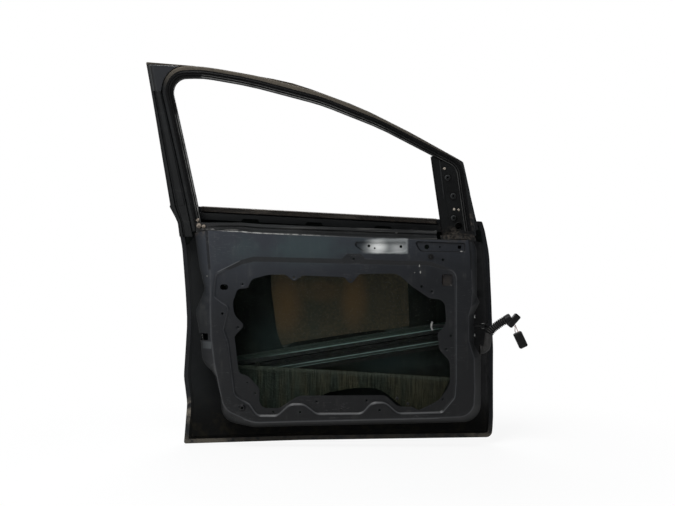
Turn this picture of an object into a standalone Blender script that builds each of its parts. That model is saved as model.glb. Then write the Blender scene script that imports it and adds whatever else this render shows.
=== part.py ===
"""Left front door shell of a family car, with its window frame, lowered glass and check arm.

+X points to the hinges, +Y out of the car and +Z up. The drawing is in millimetres: its X and Z
start at the middle of the upper hinge face and its Y at the hemmed flange. The finished door
is then moved along Y, so that the origin lies in the middle of that hinge face.
"""
import math

import bmesh
import bpy
from mathutils import Vector
from mathutils.geometry import delaunay_2d_cdt

MM = 0.001

# Sheet, gaps and the curve of the body side
GAP = 0.3
SLIVER = 0.02
SHEET = 1.2
SIDE_RADIUS = 2300.0
SIDE_MID = -130.0
SIDE_RISE = 29.0
CROWN = 7.0

# Depths of the inner panel, measured towards the cabin from the hemmed flange
LAND = 8.0
WALL_FOOT = 14.0
WALL_TOP = 58.0
EDGE_ROUND = 5.0
FACE = 85.0
FIELD_DEPTH = 7.0
POCKET_DEPTH = 6.0
HEM = 12.0
PANEL_TOP = 140.0

# Window glass, its run and the frame, measured inwards from the body side
GLASS_IN = 28.0
GLASS_THICK = 4.0
RUN_LEG_IN = 47.0
FRAME_FACE = 48.5
SASH_IN = 12.0
SASH_EDGE = 2.0
FRAME_WIDE = 34.0
FRAME_FOOT = 176.0
PILLAR_TOP = 600.0
COVER_FOOT = 254.0

# Holes and fasteners
SCREW_R = 3.0
CLIP_R = 4.0
HINGE_BOLT_R = 5.0
HINGE_BOLT_SPAN = 40.0
HINGE_Y = -35.0
LOWER_HINGE_Z = -272.0
LOWER_HINGE_X = 12.0
HINGE_PLATE = 4.0
WALL_X = 0.0

# Door check
CHECK_Z = -129.0
CHECK_Y = -30.0
ARM_THICK = 6.0
ARM_WIDE = 14.0
PIN_R = 3.9
BOLT_R = 3.0
BOLT_SPAN = 58.0
BOX_HIGH = 36.0
BRACKET_HIGH = 38.0
ARM_TAIL_X = -138.0
PIN_X = 24.0
NOTCH_X = -9.0
BOX_LONG = 38.0

# Wiring
BOOT_R = 11.6
BOOT_RIDGE = 2.3
BOOT_FOLDS = 10
BOOT_ROUTE = [
    (12.3, -36, -206), (23, -36, -205), (33, -41, -194), (36, -48, -173), (40, -54, -150), (51.5, -55, -135.7),
    (65.8, -55, -124.7), (76.8, -55, -116.8), (87.8, -55, -110.5),
]
CONNECTOR = (115.5, -55.0, -110.5)
CONNECTOR_SIZE = (21.0, 24.0, 46.0)
CONNECTOR_TILT = 41.0
SMALL_CONNECTOR = (137.6, -55.0, -171.3)
SMALL_SIZE = (27.0, 20.0, 52.0)
SMALL_TILT = -25.0
LEAD_R = 1.1
LEAD_ENDS = [(-12.0, -7.5, -3.0, 7.5), (-7.0, 7.5, 3.0, -7.5)]

# Outlines seen from the cabin: X and Z of each corner, and its radius
SKIN_OUTLINE = [
    (25, 203, 5), (35, 172, 60), (50, 99, 200), (58, -46, 300), (64, -205, 300), (61, -440, 300),
    (55, -487, 20), (-84, -489, 300), (-560, -496, 600), (-929, -507, 6), (-921, -380, 120),
    (-933, -294, 120), (-923, -120, 300), (-928, -20, 300), (-937, 120, 120), (-951, 204, 60),
    (-978, 256, 5),
]
RAISED_EDGE = [
    (-13, 143, 0), (0, 112, 60), (0, -36, 30), (9, -52, 9), (-9, -88, 12), (-9, -186, 12), (12, -222, 14),
    (12, -318, 40), (12, -428, 95), (-129, -432, 300), (-560, -442, 600), (-700, -446, 90),
    (-800, -424, 75), (-806, -345, 60), (-824, -278, 60), (-862, -240, 60), (-870, -160, 60),
    (-884, -80, 40), (-855, -12, 30), (-872, 60, 90), (-887, 165, 0),
]
FACE_EDGE = [
    (-30, 143, 0), (-25, 100, 60), (-19, -20, 40), (-22, -62, 20), (-31, -94, 20), (-31, -172, 20),
    (-14, -225, 40), (-12, -320, 40), (-16, -405, 70), (-140, -410, 200), (-560, -420, 400),
    (-700, -424, 90), (-790, -385, 60), (-803, -325, 60), (-820, -240, 60), (-830, -160, 60),
    (-833, -40, 60), (-833, 40, 90), (-842, 172, 0),
]
TOP_EDGE = [(-742, 171), (-680, 166), (-560, 161), (-408, 155), (-250, 149), (-103, 144)]
FIELD = [
    (-820, 36, 14), (-740, 80, 20), (-700, 91, 20), (-424, 84, 12), (-408, 100, 14), (-366, 100, 14),
    (-350, 82, 12), (-240, 78, 60), (-150, 76, 40), (-66, 44, 30), (-66, -300, 40), (-70, -350, 20),
    (-110, -398, 20), (-170, -400, 40), (-250, -402, 22), (-290, -368, 20), (-330, -368, 20),
    (-360, -402, 22), (-505, -403, 22), (-545, -373, 20), (-585, -373, 20), (-625, -409, 22),
    (-690, -409, 22), (-716, -372, 14), (-762, -344, 30), (-782, -180, 40), (-797, -138, 12),
    (-780, -68, 14), (-802, -54, 10),
    (-827, -34, 14),
]
APERTURE = [
    (-766, -52, 50), (-750, -10, 16), (-719, -8, 10), (-706, 20, 20), (-655, 34, 60), (-600, 35, 22),
    (-574, 11, 12), (-548, 32, 22), (-415, 26, 14), (-397, 2, 10), (-370, 36, 16), (-250, 38, 50),
    (-206, -2, 30), (-150, -40, 24), (-104, -44, 26), (-97, -120, 50), (-126, -150, 18),
    (-120, -200, 30), (-87, -236, 30), (-86, -310, 60), (-120, -358, 60), (-184, -389, 10),
    (-206, -378, 8), (-248, -378, 36), (-288, -342, 30), (-560, -344, 50), (-620, -383, 30),
    (-682, -383, 26), (-682, -320, 20), (-718, -282, 12), (-746, -274, 20), (-760, -158, 12),
    (-728, -124, 12), (-760, -92, 40),
]
BRIGHT_POCKET = [(-402, 138, 16), (-360, 106, 26), (-286, 100, 20), (-222, 106, 10), (-222, 138, 8)]
MIRROR_POCKET = [(-200, 140, 8), (-182, 105, 20), (-38, 103, 6), (-38, 134, 6)]
SQUARE_POCKET = [(-112, 36, 8), (-112, -2, 10), (-77, -2, 10), (-77, 36, 8)]

# Daylight opening: its lip line from the foot of the front pillar over the header to the rear pillar
RUN_LINE = [
    (-31, 152, 0), (-66, 371, 46), (-306, 491, 500), (-489, 561, 600), (-707, 616, 700),
    (-850, 640, 300), (-953, 637, 56), (-805, -150, 0),
]
FRAME_OUTLINE = [
    (12, 178, 0), (-42, 389, 5), (-207, 478, 600), (-368, 556, 600), (-576, 629, 700), (-842, 674, 900),
    (-1026, 688, 3), (-992, 411, 900), (-970, 249, 30), (-948, 198, 30), (-944, 160, 0),
]

# Places of holes on the inner panel: X, Z and radius
FIELD_HOLES = [
    (-735, 5, SCREW_R), (-574, 26, SCREW_R), (-397, 18, SCREW_R), (-175, -3, CLIP_R), (-143, -18, SCREW_R),
    (-749, -130, SCREW_R), (-84, -157, CLIP_R), (-98, -198, SCREW_R), (-695, -336, SCREW_R),
    (-109, -355, SCREW_R), (-503, -362, SCREW_R), (-347, -359, SCREW_R), (-427, -389, 2.2),
    (-720, -303, 2.2), (-639, -394, 3.5),
]
FACE_HOLES = [
    (-797, -87, CLIP_R), (-555, -394, CLIP_R), (-307, -388, CLIP_R), (-147, 90, 7.0), (-109, 81, CLIP_R),
]
POCKET_HOLES = [
    (-340, 124, 4.5), (-322, 117, 3.0), (-240, 122, 4.5), (-159, 121, 7.5), (-118, 121, 3.0),
]
BOSS_X, BOSS_Z, BOSS_R, BOSS_HIGH = -735.0, -380.0, 11.0, 6.0
LOCK_Z, LOCK_HIGH = -160.0, 21.0
LOCK_REAR_X, LOCK_FRONT_X, LOCK_OUT = -890.0, -843.0, -28.0
GUSSET_TIP = (-1021, 682, 2)

# Mirror corner
MIRROR_FOOT = 145.5
MIRROR_LEAN = 0.16
MIRROR_RAMP = MIRROR_FOOT + 24.5


def on_lean(start, rise):
    """A place of the mirror corner above its foot, leaning back with the front pillar."""
    height = MIRROR_FOOT + rise
    return start - MIRROR_LEAN * height, height


MIRROR_BOSSES = [(-93, 338), on_lean(-29.04, 135.5), on_lean(-37.08, 66.5)]
MIRROR_BOSS_R = 10.5
MIRROR_BOSS_HIGH = 6.0
MIRROR_HOLE = (*on_lean(-25.08, 41.5), 11.0)
MIRROR_RIVETS = [(-103, 366), on_lean(-31.6, 94.5), on_lean(-17.92, 92.5)]
RIVET_R = 4.0
BAR_WIDE = 26.0
BAR_HEAD = (-146.0, 409.0)
BAR_FOOT = (-113.0, 210.0)
BAR_LOW = 40.0

# Belt
BELT_REAR_X = -872.0
BELT_FRONT_X = -122.0
BAND_REAR_X = -938.0
BAND_FRONT_X = -6.0
INNER_BELT_REAR_X = -882.0
BELT_RAIL_SIDE = 1.0
BELT_STRIP_HIGH = 15.0
BELT_BAND_HIGH = 26.0
SLOT_LONG, SLOT_HIGH = 58.0, 9.0
SLOT_PLACES = [-716, -512, -292]

# Intrusion beam: both ends of the top edge of its upper crest
BEAM_REAR = (-800, -252)
BEAM_FRONT = (-72, -134)
BEAM_CREST_IN = 22.0
BEAM_FOOT_IN = 3.0
BEAM_TAIL_REAR = 96.0
BEAM_TAIL_FRONT = 100.0

# Outer door handle: its dish in the skin and the two holes in it
HANDLE_DISH = [(-905, 150, 34), (-905, 82, 34), (-742, 78, 34), (-742, 146, 34)]
HANDLE_DEPTH = 9.0
HANDLE_HOLES = [(-870, 115, 9.0), (-778, 112, 7.0)]

# Lowered glass, and the sheet on the skin
LOBE_REAR_Z = -415.0
LOBE_FRONT_Z = -403.0
GLASS_OUTLINE = [
    (-122, -46, 22), (-284, 26, 400), (-467, 96, 400), (-685, 138, 600), (-846, 140, 30), (-806, -150, 200),
    (-786, -300, 80), (-740, LOBE_REAR_Z, 60), (-560, LOBE_REAR_Z, 60), (-480, -346, 70), (-380, -326, 300),
    (-300, -330, 100), (-215, LOBE_FRONT_Z, 30), (-130, LOBE_FRONT_Z, 50), (-74, -291, 12), (-107, -286, 4),
]
PAD_OUTLINE = [
    (-655, 46, 20), (-212, 42, 20), (-206, -130, 20), (-222, -158, 12), (-300, -146, 60), (-407, -160, 60),
    (-590, -188, 30), (-612, -216, 12), (-634, -150, 80), (-650, -30, 80),
]
STOP_GAP = 0.8
PAD_THICK = 3.0
PAD_GAP = 0.8

BLUE_GREY = (0.075, 0.082, 0.092, 1.0)
FRAME_GREY = (0.05, 0.053, 0.056, 1.0)
BROWN_GREY = (0.13, 0.115, 0.10, 1.0)
BELT_BROWN = (0.075, 0.058, 0.042, 1.0)
RUBBER = (0.022, 0.023, 0.024, 1.0)
BARE_STEEL = (0.42, 0.42, 0.41, 1.0)
GREEN_GLASS = (0.16, 0.20, 0.15, 1.0)
OCHRE = (0.15, 0.12, 0.07, 1.0)
GREY_PLASTIC = (0.12, 0.12, 0.11, 1.0)
WIRE_BROWN = (0.30, 0.15, 0.09, 1.0)


def clear_scene():
    """Remove every object of the open scene."""
    for old in list(bpy.data.objects):
        bpy.data.objects.remove(old, do_unlink=True)


def material(name, colour, roughness, metallic=0.0):
    """A Principled material, made once."""
    found = bpy.data.materials.get(name)
    if found:
        return found
    made = bpy.data.materials.new(name)
    made.use_nodes = True
    shader = made.node_tree.nodes["Principled BSDF"]
    shader.inputs["Base Color"].default_value = colour
    shader.inputs["Roughness"].default_value = roughness
    shader.inputs["Metallic"].default_value = metallic
    return made


def panel_paint():
    return material("panel_paint", BLUE_GREY, 0.42)


def frame_paint():
    return material("frame_paint", FRAME_GREY, 0.45)


def sash_paint():
    return material("sash_paint", BROWN_GREY, 0.5)


def belt_rubber():
    return material("belt_rubber", BELT_BROWN, 0.8)


def seal_rubber():
    return material("seal_rubber", RUBBER, 0.6)


def bare_steel():
    return material("bare_steel", BARE_STEEL, 0.4, 1.0)


def glass():
    return material("green_glass", GREEN_GLASS, 0.2)


def damping():
    return material("damping_sheet", OCHRE, 0.85)


def grey_plastic():
    return material("grey_plastic", GREY_PLASTIC, 0.55)


def wire_cover():
    return material("wire_cover", WIRE_BROWN, 0.6)


def side(z):
    """Y of the curved body side at this height."""
    return SIDE_RISE - (SIDE_RADIUS - math.sqrt(SIDE_RADIUS ** 2 - (z - SIDE_MID) ** 2))


def skin_y(x, z):
    """Y of the outer skin's own sheet, which is crowned a little between its edges."""
    across = max(0.0, 1.0 - ((x + 435.0) / 495.0) ** 4)
    upright = max(0.0, 1.0 - ((z - SIDE_MID) / 362.0) ** 4)
    return side(z) + CROWN * across * upright


def arcs(corners, closed, turn):
    """Points of an outline whose corners are (x, z, radius), with each corner drawn as an arc."""
    count = len(corners)
    points = []
    for i, (x, z, radius) in enumerate(corners):
        here = Vector((x, z))
        if not closed and i in (0, count - 1):
            points.append(here)
            continue
        back = Vector(corners[i - 1][:2]) - here
        ahead = Vector(corners[(i + 1) % count][:2]) - here
        bend = math.pi - back.angle(ahead)
        if radius <= 0.0 or bend < math.radians(1.0):
            points.append(here)
            continue
        reach = radius * math.tan(bend / 2)
        room = 0.49 * min(back.length, ahead.length)
        if reach > room:
            radius *= room / reach
            reach = room
        start = here + back.normalized() * reach
        middle = here + (back.normalized() + ahead.normalized()).normalized() * radius / math.cos(bend / 2)
        spoke = start - middle
        sense = 1.0 if back.x * ahead.y - back.y * ahead.x < 0 else -1.0
        steps = max(1, math.ceil(math.degrees(bend) / turn))
        for k in range(steps + 1):
            angle = sense * bend * k / steps
            points.append(middle + Vector((
                spoke.x * math.cos(angle) - spoke.y * math.sin(angle),
                spoke.x * math.sin(angle) + spoke.y * math.cos(angle))))
    return points


def divided(points, closed, longest, follow=None):
    """The outline with its long stretches divided, or one that follows it point by point."""
    follow = follow or points
    result = []
    ends = len(points) if closed else len(points) - 1
    for i in range(ends):
        length = (points[(i + 1) % len(points)] - points[i]).length
        if length < 0.05:
            continue
        parts = max(1, round(length / longest))
        result.extend(follow[i].lerp(follow[(i + 1) % len(points)], k / parts) for k in range(parts))
    if not closed:
        result.append(follow[-1])
    return result


def rounded(corners, closed=True, turn=26.0, longest=75.0, inset=0.0):
    """A rounded outline, or its ring an inset further in, which has the same number of points."""
    outer = arcs(corners, closed, turn)
    if not inset:
        return divided(outer, closed, longest)
    return divided(outer, closed, longest, arcs(grown(corners, -inset), closed, turn))


def normals(points, closed=True):
    """For each point the mitred normal that points out of the outline, taken as if it were closed."""
    count = len(points)
    area = sum(a.x * b.y - a.y * b.x for a, b in zip(points, points[1:] + points[:1]))
    sense = 1.0 if area > 0 else -1.0
    result = []
    for i, here in enumerate(points):
        ways = []
        if closed or i > 0:
            ways.append((here - points[i - 1]).normalized())
        if closed or i < count - 1:
            ways.append((points[(i + 1) % count] - here).normalized())
        sides = [Vector((way.y, -way.x)) * sense for way in ways]
        mean = sum(sides, Vector((0, 0))).normalized()
        result.append(mean / max(0.5, mean.dot(sides[0])))
    return result


def moved_out(points, distance, closed=True):
    """The outline moved outwards by a distance."""
    return [p + n * distance for p, n in zip(points, normals(points, closed))]


def grown(corners, distance, closed=True, least=3.0):
    """Corners of the outline moved outwards by a distance, with the radii changed to match."""
    points = [Vector(corner[:2]) for corner in corners]
    shifts = normals(points, closed)
    count = len(points)
    area = sum(a.x * b.y - a.y * b.x for a, b in zip(points, points[1:] + points[:1]))
    result = []
    for i, ((x, z, radius), shift) in enumerate(zip(corners, shifts)):
        before, after = points[i] - points[i - 1], points[(i + 1) % count] - points[i]
        bulges = (before.x * after.y - before.y * after.x) * area > 0
        if radius > 0.0:
            radius = max(least, radius + (distance if bulges else -distance))
        result.append((x + shift.x * distance, z + shift.y * distance, radius))
    return result


def circle(x, z, radius, sides=8):
    return [Vector((x + radius * math.cos(2 * math.pi * k / sides),
                    z + radius * math.sin(2 * math.pi * k / sides))) for k in range(sides)]


def at_depth(points, y):
    """A contour at one depth."""
    return [(p.x, y, p.y) for p in points]


def on_side(points, inwards):
    """A contour that follows the body side."""
    return [(p.x, side(p.y) - inwards, p.y) for p in points]


def inside(point, polygon):
    """Whether a point lies in a closed outline."""
    hit = False
    for i, a in enumerate(polygon):
        b = polygon[i - 1]
        if (a[1] > point[1]) != (b[1] > point[1]):
            if point[0] < (b[0] - a[0]) * (point[1] - a[1]) / (b[1] - a[1]) + a[0]:
                hit = not hit
    return hit


def joined(name, mesh_data, paint, smooth_angle=30.0):
    """Link a mesh as a named object with its material."""
    mesh_data.materials.append(paint)
    obj = bpy.data.objects.new(name, mesh_data)
    bpy.context.scene.collection.objects.link(obj)
    mesh_data.shade_smooth()
    mesh_data.set_sharp_from_angle(angle=math.radians(smooth_angle))
    return obj


def mesh_from(name, verts, faces):
    """A mesh in metres from points in millimetres, its faces turned outwards."""
    data = bpy.data.meshes.new(name)
    bm = bmesh.new()
    made = [bm.verts.new((x * MM, y * MM, z * MM)) for x, y, z in verts]
    for face in faces:
        bm.faces.new([made[i] for i in face])
    bmesh.ops.recalc_face_normals(bm, faces=bm.faces)
    bm.to_mesh(data)
    bm.free()
    return data


def triangulated(boundary, contours, holes, extra=()):
    """Triangles between contours in plan. Each contour is (plan points, solid points, closed)."""
    plan, solid, edges = [], [], []
    known = {}

    def number(point, place):
        key = (round(point[0], 2), round(point[1], 2))
        if key not in known:
            known[key] = len(plan)
            plan.append(Vector((point[0], point[1])))
            solid.append(place)
        return known[key]

    for points, places, closed in [boundary, *contours, *holes]:
        row = [number(p, q) for p, q in zip(points, places)]
        pairs = zip(row, row[1:] + row[:1]) if closed else zip(row, row[1:])
        edges.extend((a, b) for a, b in pairs if a != b)
    for point, place in extra:
        number(point, place)
    out, _, faces, origins, _, _ = delaunay_2d_cdt(plan, edges, [], 0, 0.001, True)
    places = []
    for spot, origin in zip(out, origins):
        if not origin:
            raise ValueError(f"two contours cross near {spot}")
        places.append(solid[origin[0]])
    hole_plans = [hole[0] for hole in holes]
    kept = []
    for face in faces:
        a, b, c = (out[i] for i in face)
        if abs((b - a).cross(c - a)) < SLIVER:
            continue
        centre = (a + b + c) / 3
        if inside(centre, boundary[0]) and not any(inside(centre, plan_) for plan_ in hole_plans):
            kept.append(tuple(face))
    return places, kept


def pressing(name, boundary, contours, holes, paint, thickness, extra=()):
    """A pressed sheet: the contours give its cabin face, and its thickness lies behind them."""
    places, faces = triangulated(boundary, contours, holes, extra)
    data = bpy.data.meshes.new(name)
    bm = bmesh.new()
    made = [bm.verts.new((x * MM, y * MM, z * MM)) for x, y, z in places]
    for face in faces:
        ring = [made[i] for i in face]
        new = bm.faces.new(ring)
        new.normal_update()
        if new.normal.y > 0:
            new.normal_flip()
    bmesh.ops.delete(bm, geom=[v for v in bm.verts if not v.link_faces], context="VERTS")
    bm.to_mesh(data)
    bm.free()
    obj = joined(name, data, paint)
    wall = obj.modifiers.new("sheet", "SOLIDIFY")
    wall.thickness = thickness * MM
    wall.offset = -1.0
    wall.use_even_offset = True
    wall.use_quality_normals = True
    return obj


def sweep(name, path, profile, paint, place):
    """A closed profile carried along a path. place(point, normal, (n, d), i) gives each solid point."""
    across = normals(path, closed=False)
    verts, faces = [], []
    size = len(profile)
    for i, (point, normal) in enumerate(zip(path, across)):
        verts.extend(place(point, normal, spot, i) for spot in profile)
    for i in range(len(path) - 1):
        for k in range(size):
            a, b = i * size + k, i * size + (k + 1) % size
            faces.append((a, b, b + size, a + size))
    faces.append(tuple(range(size)))
    last = (len(path) - 1) * size
    faces.append(tuple(last + k for k in reversed(range(size))))
    return joined(name, mesh_from(name, verts, faces), paint)


def frame_place(point, normal, spot, _):
    """A frame profile's point: outwards from the lip line, and inwards from the body side."""
    x, z = point.x + normal.x * spot[0], point.y + normal.y * spot[0]
    return x, side(z) - spot[1], z


def box(name, low, high, paint, bevel=0.0):
    """A block between two corners, with its edges broken if a bevel is given."""
    verts = [(x, y, z) for x in (low[0], high[0]) for y in (low[1], high[1]) for z in (low[2], high[2])]
    faces = [(0, 1, 3, 2), (4, 6, 7, 5), (0, 4, 5, 1), (2, 3, 7, 6), (0, 2, 6, 4), (1, 5, 7, 3)]
    obj = joined(name, mesh_from(name, verts, faces), paint)
    if bevel:
        edge = obj.modifiers.new("edge", "BEVEL")
        edge.width = bevel * MM
        edge.segments = 1
        edge.limit_method = "ANGLE"
    return obj


def turned(name, rows, paint, base, axis, sides=14):
    """A turned piece: rows are (distance along the axis, radius), closed at both ends."""
    way = Vector(axis).normalized()
    first = way.orthogonal().normalized()
    second = way.cross(first)
    start = Vector(base)
    verts, faces = [], []
    for along, radius in rows:
        for k in range(sides):
            angle = 2 * math.pi * k / sides
            spoke = first * math.cos(angle) + second * math.sin(angle)
            verts.append(start + way * along + spoke * radius)
    for i in range(len(rows) - 1):
        for k in range(sides):
            a, b = i * sides + k, i * sides + (k + 1) % sides
            faces.append((a, b, b + sides, a + sides))
    faces.append(tuple(range(sides)))
    faces.append(tuple((len(rows) - 1) * sides + k for k in range(sides)))
    return joined(name, mesh_from(name, verts, faces), paint, 40.0)


def cutter(name, obj):
    """Turn an object into a hidden cutting guide."""
    obj.name = name
    obj.hide_render = True
    obj.display_type = "WIRE"
    return obj


def cut(target, tool):
    """Take a cutting guide out of a piece."""
    step = target.modifiers.new(tool.name, "BOOLEAN")
    step.operation = "DIFFERENCE"
    step.object = tool
    step.solver = "EXACT"


def round_cutter(name, base, axis, radius, depth, sides=10):
    return cutter(name, turned(name, [(0, radius), (depth, radius)], panel_paint(), base, axis, sides))


def block_cutter(name, low, high):
    return cutter(name, box(name, low, high, panel_paint()))


def lower_part(loop, top):
    """The run of a closed outline below a height, from its front end round to its rear end."""
    kept = [i for i, p in enumerate(loop) if p.y < top]
    start = next(i for i in kept if loop[i - 1].y >= top and loop[i].x > -435.0)
    run = []
    for k in range(len(loop)):
        point = loop[(start + k) % len(loop)]
        if point.y >= top:
            break
        run.append(point)
    return run


def wall_ring(edge, plan_shift, real_shift, y_of):
    """A ring round the raised wall: its place in plan, and where it stands on the real pressing."""
    plan = moved_out(edge, plan_shift, closed=False)
    real = moved_out(edge, real_shift, closed=False)
    return plan, [(p.x, y_of(p), p.y) for p in real], False


def on_loop(plan, y):
    return plan, at_depth(plan, y), True


def inner_panel():
    """The pressed inner panel: hem flange, land, walls, chamfered edge, pockets and holes."""
    edge = rounded(RAISED_EDGE, closed=False)
    face_edge = rounded(FACE_EDGE, closed=False)
    rows = []
    for shift, depth in ((0.0, SHEET / 2), (HEM + 5.0, SHEET / 2), (HEM + 10.0, LAND)):
        ring = lower_part(rounded(grown(SKIN_OUTLINE, -SHEET - GAP - shift)), PANEL_TOP)
        rows.append((ring, on_side(ring, depth), False))
    rows.append(wall_ring(edge, 14.0, 6.0, lambda p: side(p.y) - LAND))
    rows.append(wall_ring(edge, 9.0, 0.0, lambda p: side(p.y) - WALL_FOOT))
    rows.append(wall_ring(edge, 4.0, 0.0, lambda p: -WALL_TOP))
    rows.append(wall_ring(edge, -1.0, -3.0, lambda p: -WALL_TOP - EDGE_ROUND))
    rows.append((face_edge, at_depth(face_edge, -FACE), False))
    top = [Vector(p) for p in TOP_EDGE]
    top_low = [p - Vector((0, 5)) for p in top]
    outline = list(rows[0][0])
    places = list(rows[0][1])
    for row in rows[1:]:
        outline.append(row[0][-1])
        places.append(row[1][-1])
    outline.extend(top)
    places.extend(at_depth(top, -FACE + 5.0))
    for row in reversed(rows[1:]):
        outline.append(row[0][0])
        places.append(row[1][0])
    field = rounded(FIELD)
    field_y = -FACE + FIELD_DEPTH
    loops = [on_loop(field, -FACE), on_loop(moved_out(field, -6.0), field_y)]
    for corners in (BRIGHT_POCKET, MIRROR_POCKET):
        pocket = rounded(corners)
        loops.append(on_loop(pocket, -FACE))
        loops.append(on_loop(moved_out(pocket, -5.0), -FACE + POCKET_DEPTH))
    square = rounded(SQUARE_POCKET)
    loops.append(on_loop(square, field_y))
    loops.append(on_loop(moved_out(square, -4.0), field_y + POCKET_DEPTH))
    loops.append(on_loop(circle(BOSS_X, BOSS_Z, BOSS_R, 12), -FACE))
    loops.append(on_loop(circle(BOSS_X, BOSS_Z, BOSS_R * 0.55, 12), -FACE - BOSS_HIGH))
    holes = [on_loop(rounded(APERTURE), field_y)]
    holes.append(on_loop(circle(BOSS_X, BOSS_Z, CLIP_R), -FACE - BOSS_HIGH))
    holes.extend(on_loop(circle(x, z, r), field_y) for x, z, r in FIELD_HOLES)
    holes.extend(on_loop(circle(x, z, r), -FACE) for x, z, r in FACE_HOLES)
    holes.extend(on_loop(circle(x, z, r), -FACE + POCKET_DEPTH) for x, z, r in POCKET_HOLES)
    slot = [(-805, 4, 8), (-805, -13, 8), (-780, -13, 8), (-780, 4, 8)]
    holes.append(on_loop(rounded(slot), field_y))
    square_hole = [(-62, 125, 1), (-62, 115, 1), (-52, 115, 1), (-52, 125, 1)]
    holes.append(on_loop(rounded(square_hole), -FACE + POCKET_DEPTH))
    contours = rows[1:] + [(top_low, at_depth(top_low, -FACE), False)] + loops
    panel = pressing("inner_panel", (outline, places, True), contours, holes, panel_paint(), SHEET)
    for name, x, z in (("upper", WALL_X, 0.0), ("lower", LOWER_HINGE_X, LOWER_HINGE_Z)):
        for k, shift in enumerate((-HINGE_BOLT_SPAN / 2, HINGE_BOLT_SPAN / 2)):
            start = (x - 12, HINGE_Y, z + shift)
            hole = round_cutter(f"{name}_hinge_hole_{k}", start, (1, 0, 0), HINGE_BOLT_R, 24)
            cut(panel, hole)
    low, high = (NOTCH_X - 12, CHECK_Y - 10, CHECK_Z - 6), (NOTCH_X + 12, CHECK_Y + 10, CHECK_Z + 6)
    cut(panel, block_cutter("arm_slot", low, high))
    for k, shift in enumerate((-BOLT_SPAN / 2, BOLT_SPAN / 2)):
        start = (NOTCH_X - 9, CHECK_Y, CHECK_Z + shift)
        cut(panel, round_cutter(f"check_wall_hole_{k}", start, (1, 0, 0), BOLT_R + GAP, 18))
    low = (LOCK_REAR_X, -FACE - 10, LOCK_Z - LOCK_HIGH / 2)
    high = (LOCK_FRONT_X, LOCK_OUT, LOCK_Z + LOCK_HIGH / 2)
    mouth = block_cutter("lock_mouth", low, high)
    cut(panel, mouth)
    return panel


def grid(outline, step, margin):
    """Points of a square grid that lie well inside an outline."""
    low_x, high_x = min(p.x for p in outline), max(p.x for p in outline)
    low_z, high_z = min(p.y for p in outline), max(p.y for p in outline)
    across = max(1, round((high_x - low_x) / step))
    upright = max(1, round((high_z - low_z) / step))
    found = []
    for i in range(1, across):
        for k in range(1, upright):
            point = Vector((low_x + (high_x - low_x) * i / across, low_z + (high_z - low_z) * k / upright))
            if inside(point, outline) and min((point - p).length for p in outline) > margin:
                found.append(point)
    return found


def outer_skin():
    """The outer panel: a crowned sheet whose edge is folded back round the inner panel's flange."""
    edge = rounded(SKIN_OUTLINE)
    lining = rounded(SKIN_OUTLINE, inset=SHEET)
    hem = rounded(SKIN_OUTLINE, inset=HEM + SHEET + GAP)
    outer, inner = SHEET * 1.5 + GAP, SHEET / 2 + GAP
    dish = rounded(HANDLE_DISH)
    dish_floor = rounded(HANDLE_DISH, inset=14.0)
    verge = moved_out(dish, 9.0)
    spots = [p for p in grid(edge, 95.0, 30.0) if not inside(p, moved_out(dish, 16.0))]

    def face(boundary, offset):
        rings = [(ring, [(p.x, skin_y(p.x, p.y) + offset - drop, p.y) for p in ring], True)
                 for ring, drop in ((verge, 0.0), (dish, 0.0), (dish_floor, HANDLE_DEPTH))]
        extra = [((p.x, p.y), (p.x, skin_y(p.x, p.y) + offset, p.y)) for p in spots]
        rim = (boundary, [(p.x, side(p.y) + offset, p.y) for p in boundary], True)
        return triangulated(rim, rings, [], extra)

    verts, faces = face(edge, outer)
    count = len(edge)
    back_verts, back_faces = face(lining, inner)
    rings = [list(range(count))]
    for ring, offset in ((edge, -outer), (hem, -outer), (hem, -inner), (lining, -inner)):
        rings.append(list(range(len(verts), len(verts) + count)))
        verts.extend((p.x, side(p.y) + offset, p.y) for p in ring)
    shift = len(verts)
    rings.append([shift + k for k in range(count)])
    verts.extend(back_verts)
    faces.extend(tuple(i + shift for i in face_) for face_ in back_faces)
    for first, second in zip(rings, rings[1:]):
        for k in range(count):
            after = (k + 1) % count
            faces.append((first[k], first[after], second[after], second[k]))
    skin = joined("outer_skin", mesh_from("outer_skin", verts, faces), panel_paint())
    for k, (x, z, radius) in enumerate(HANDLE_HOLES):
        cut(skin, round_cutter(f"handle_hole_{k}", (x, -30.0, z), (0, 1, 0), radius, 80.0))
    return skin


def run_path(rear_z):
    """The lip line of the daylight opening, down to a height on the rear pillar."""
    corners = list(RUN_LINE)
    top, foot = corners[-2], corners[-1]
    share = (rear_z - foot[1]) / (top[1] - foot[1])
    corners[-1] = (foot[0] + (top[0] - foot[0]) * share, rear_z, 0)
    return rounded(corners, closed=False, turn=15.0, longest=95.0)


def reach(point, normal, outline):
    """How far an outline lies from a point along a direction."""
    found = []
    for a, b in zip(outline, outline[1:]):
        way = b - a
        cross = normal.x * way.y - normal.y * way.x
        if abs(cross) < 1e-9:
            continue
        gap = a - point
        along = (gap.x * way.y - gap.y * way.x) / cross
        share = (gap.x * normal.y - gap.y * normal.x) / cross
        if along > 0 and -0.001 <= share <= 1.001:
            found.append(along)
    return min(found, default=FRAME_WIDE + SASH_EDGE)


def frame_widths(path):
    """Width of the frame's metal at each point of the lip line, up to the sash's flange."""
    outline = rounded(FRAME_OUTLINE, closed=False)
    return [min(FRAME_WIDE, reach(p, n, outline) - SASH_EDGE) for p, n in zip(path, normals(path, False))]


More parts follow.
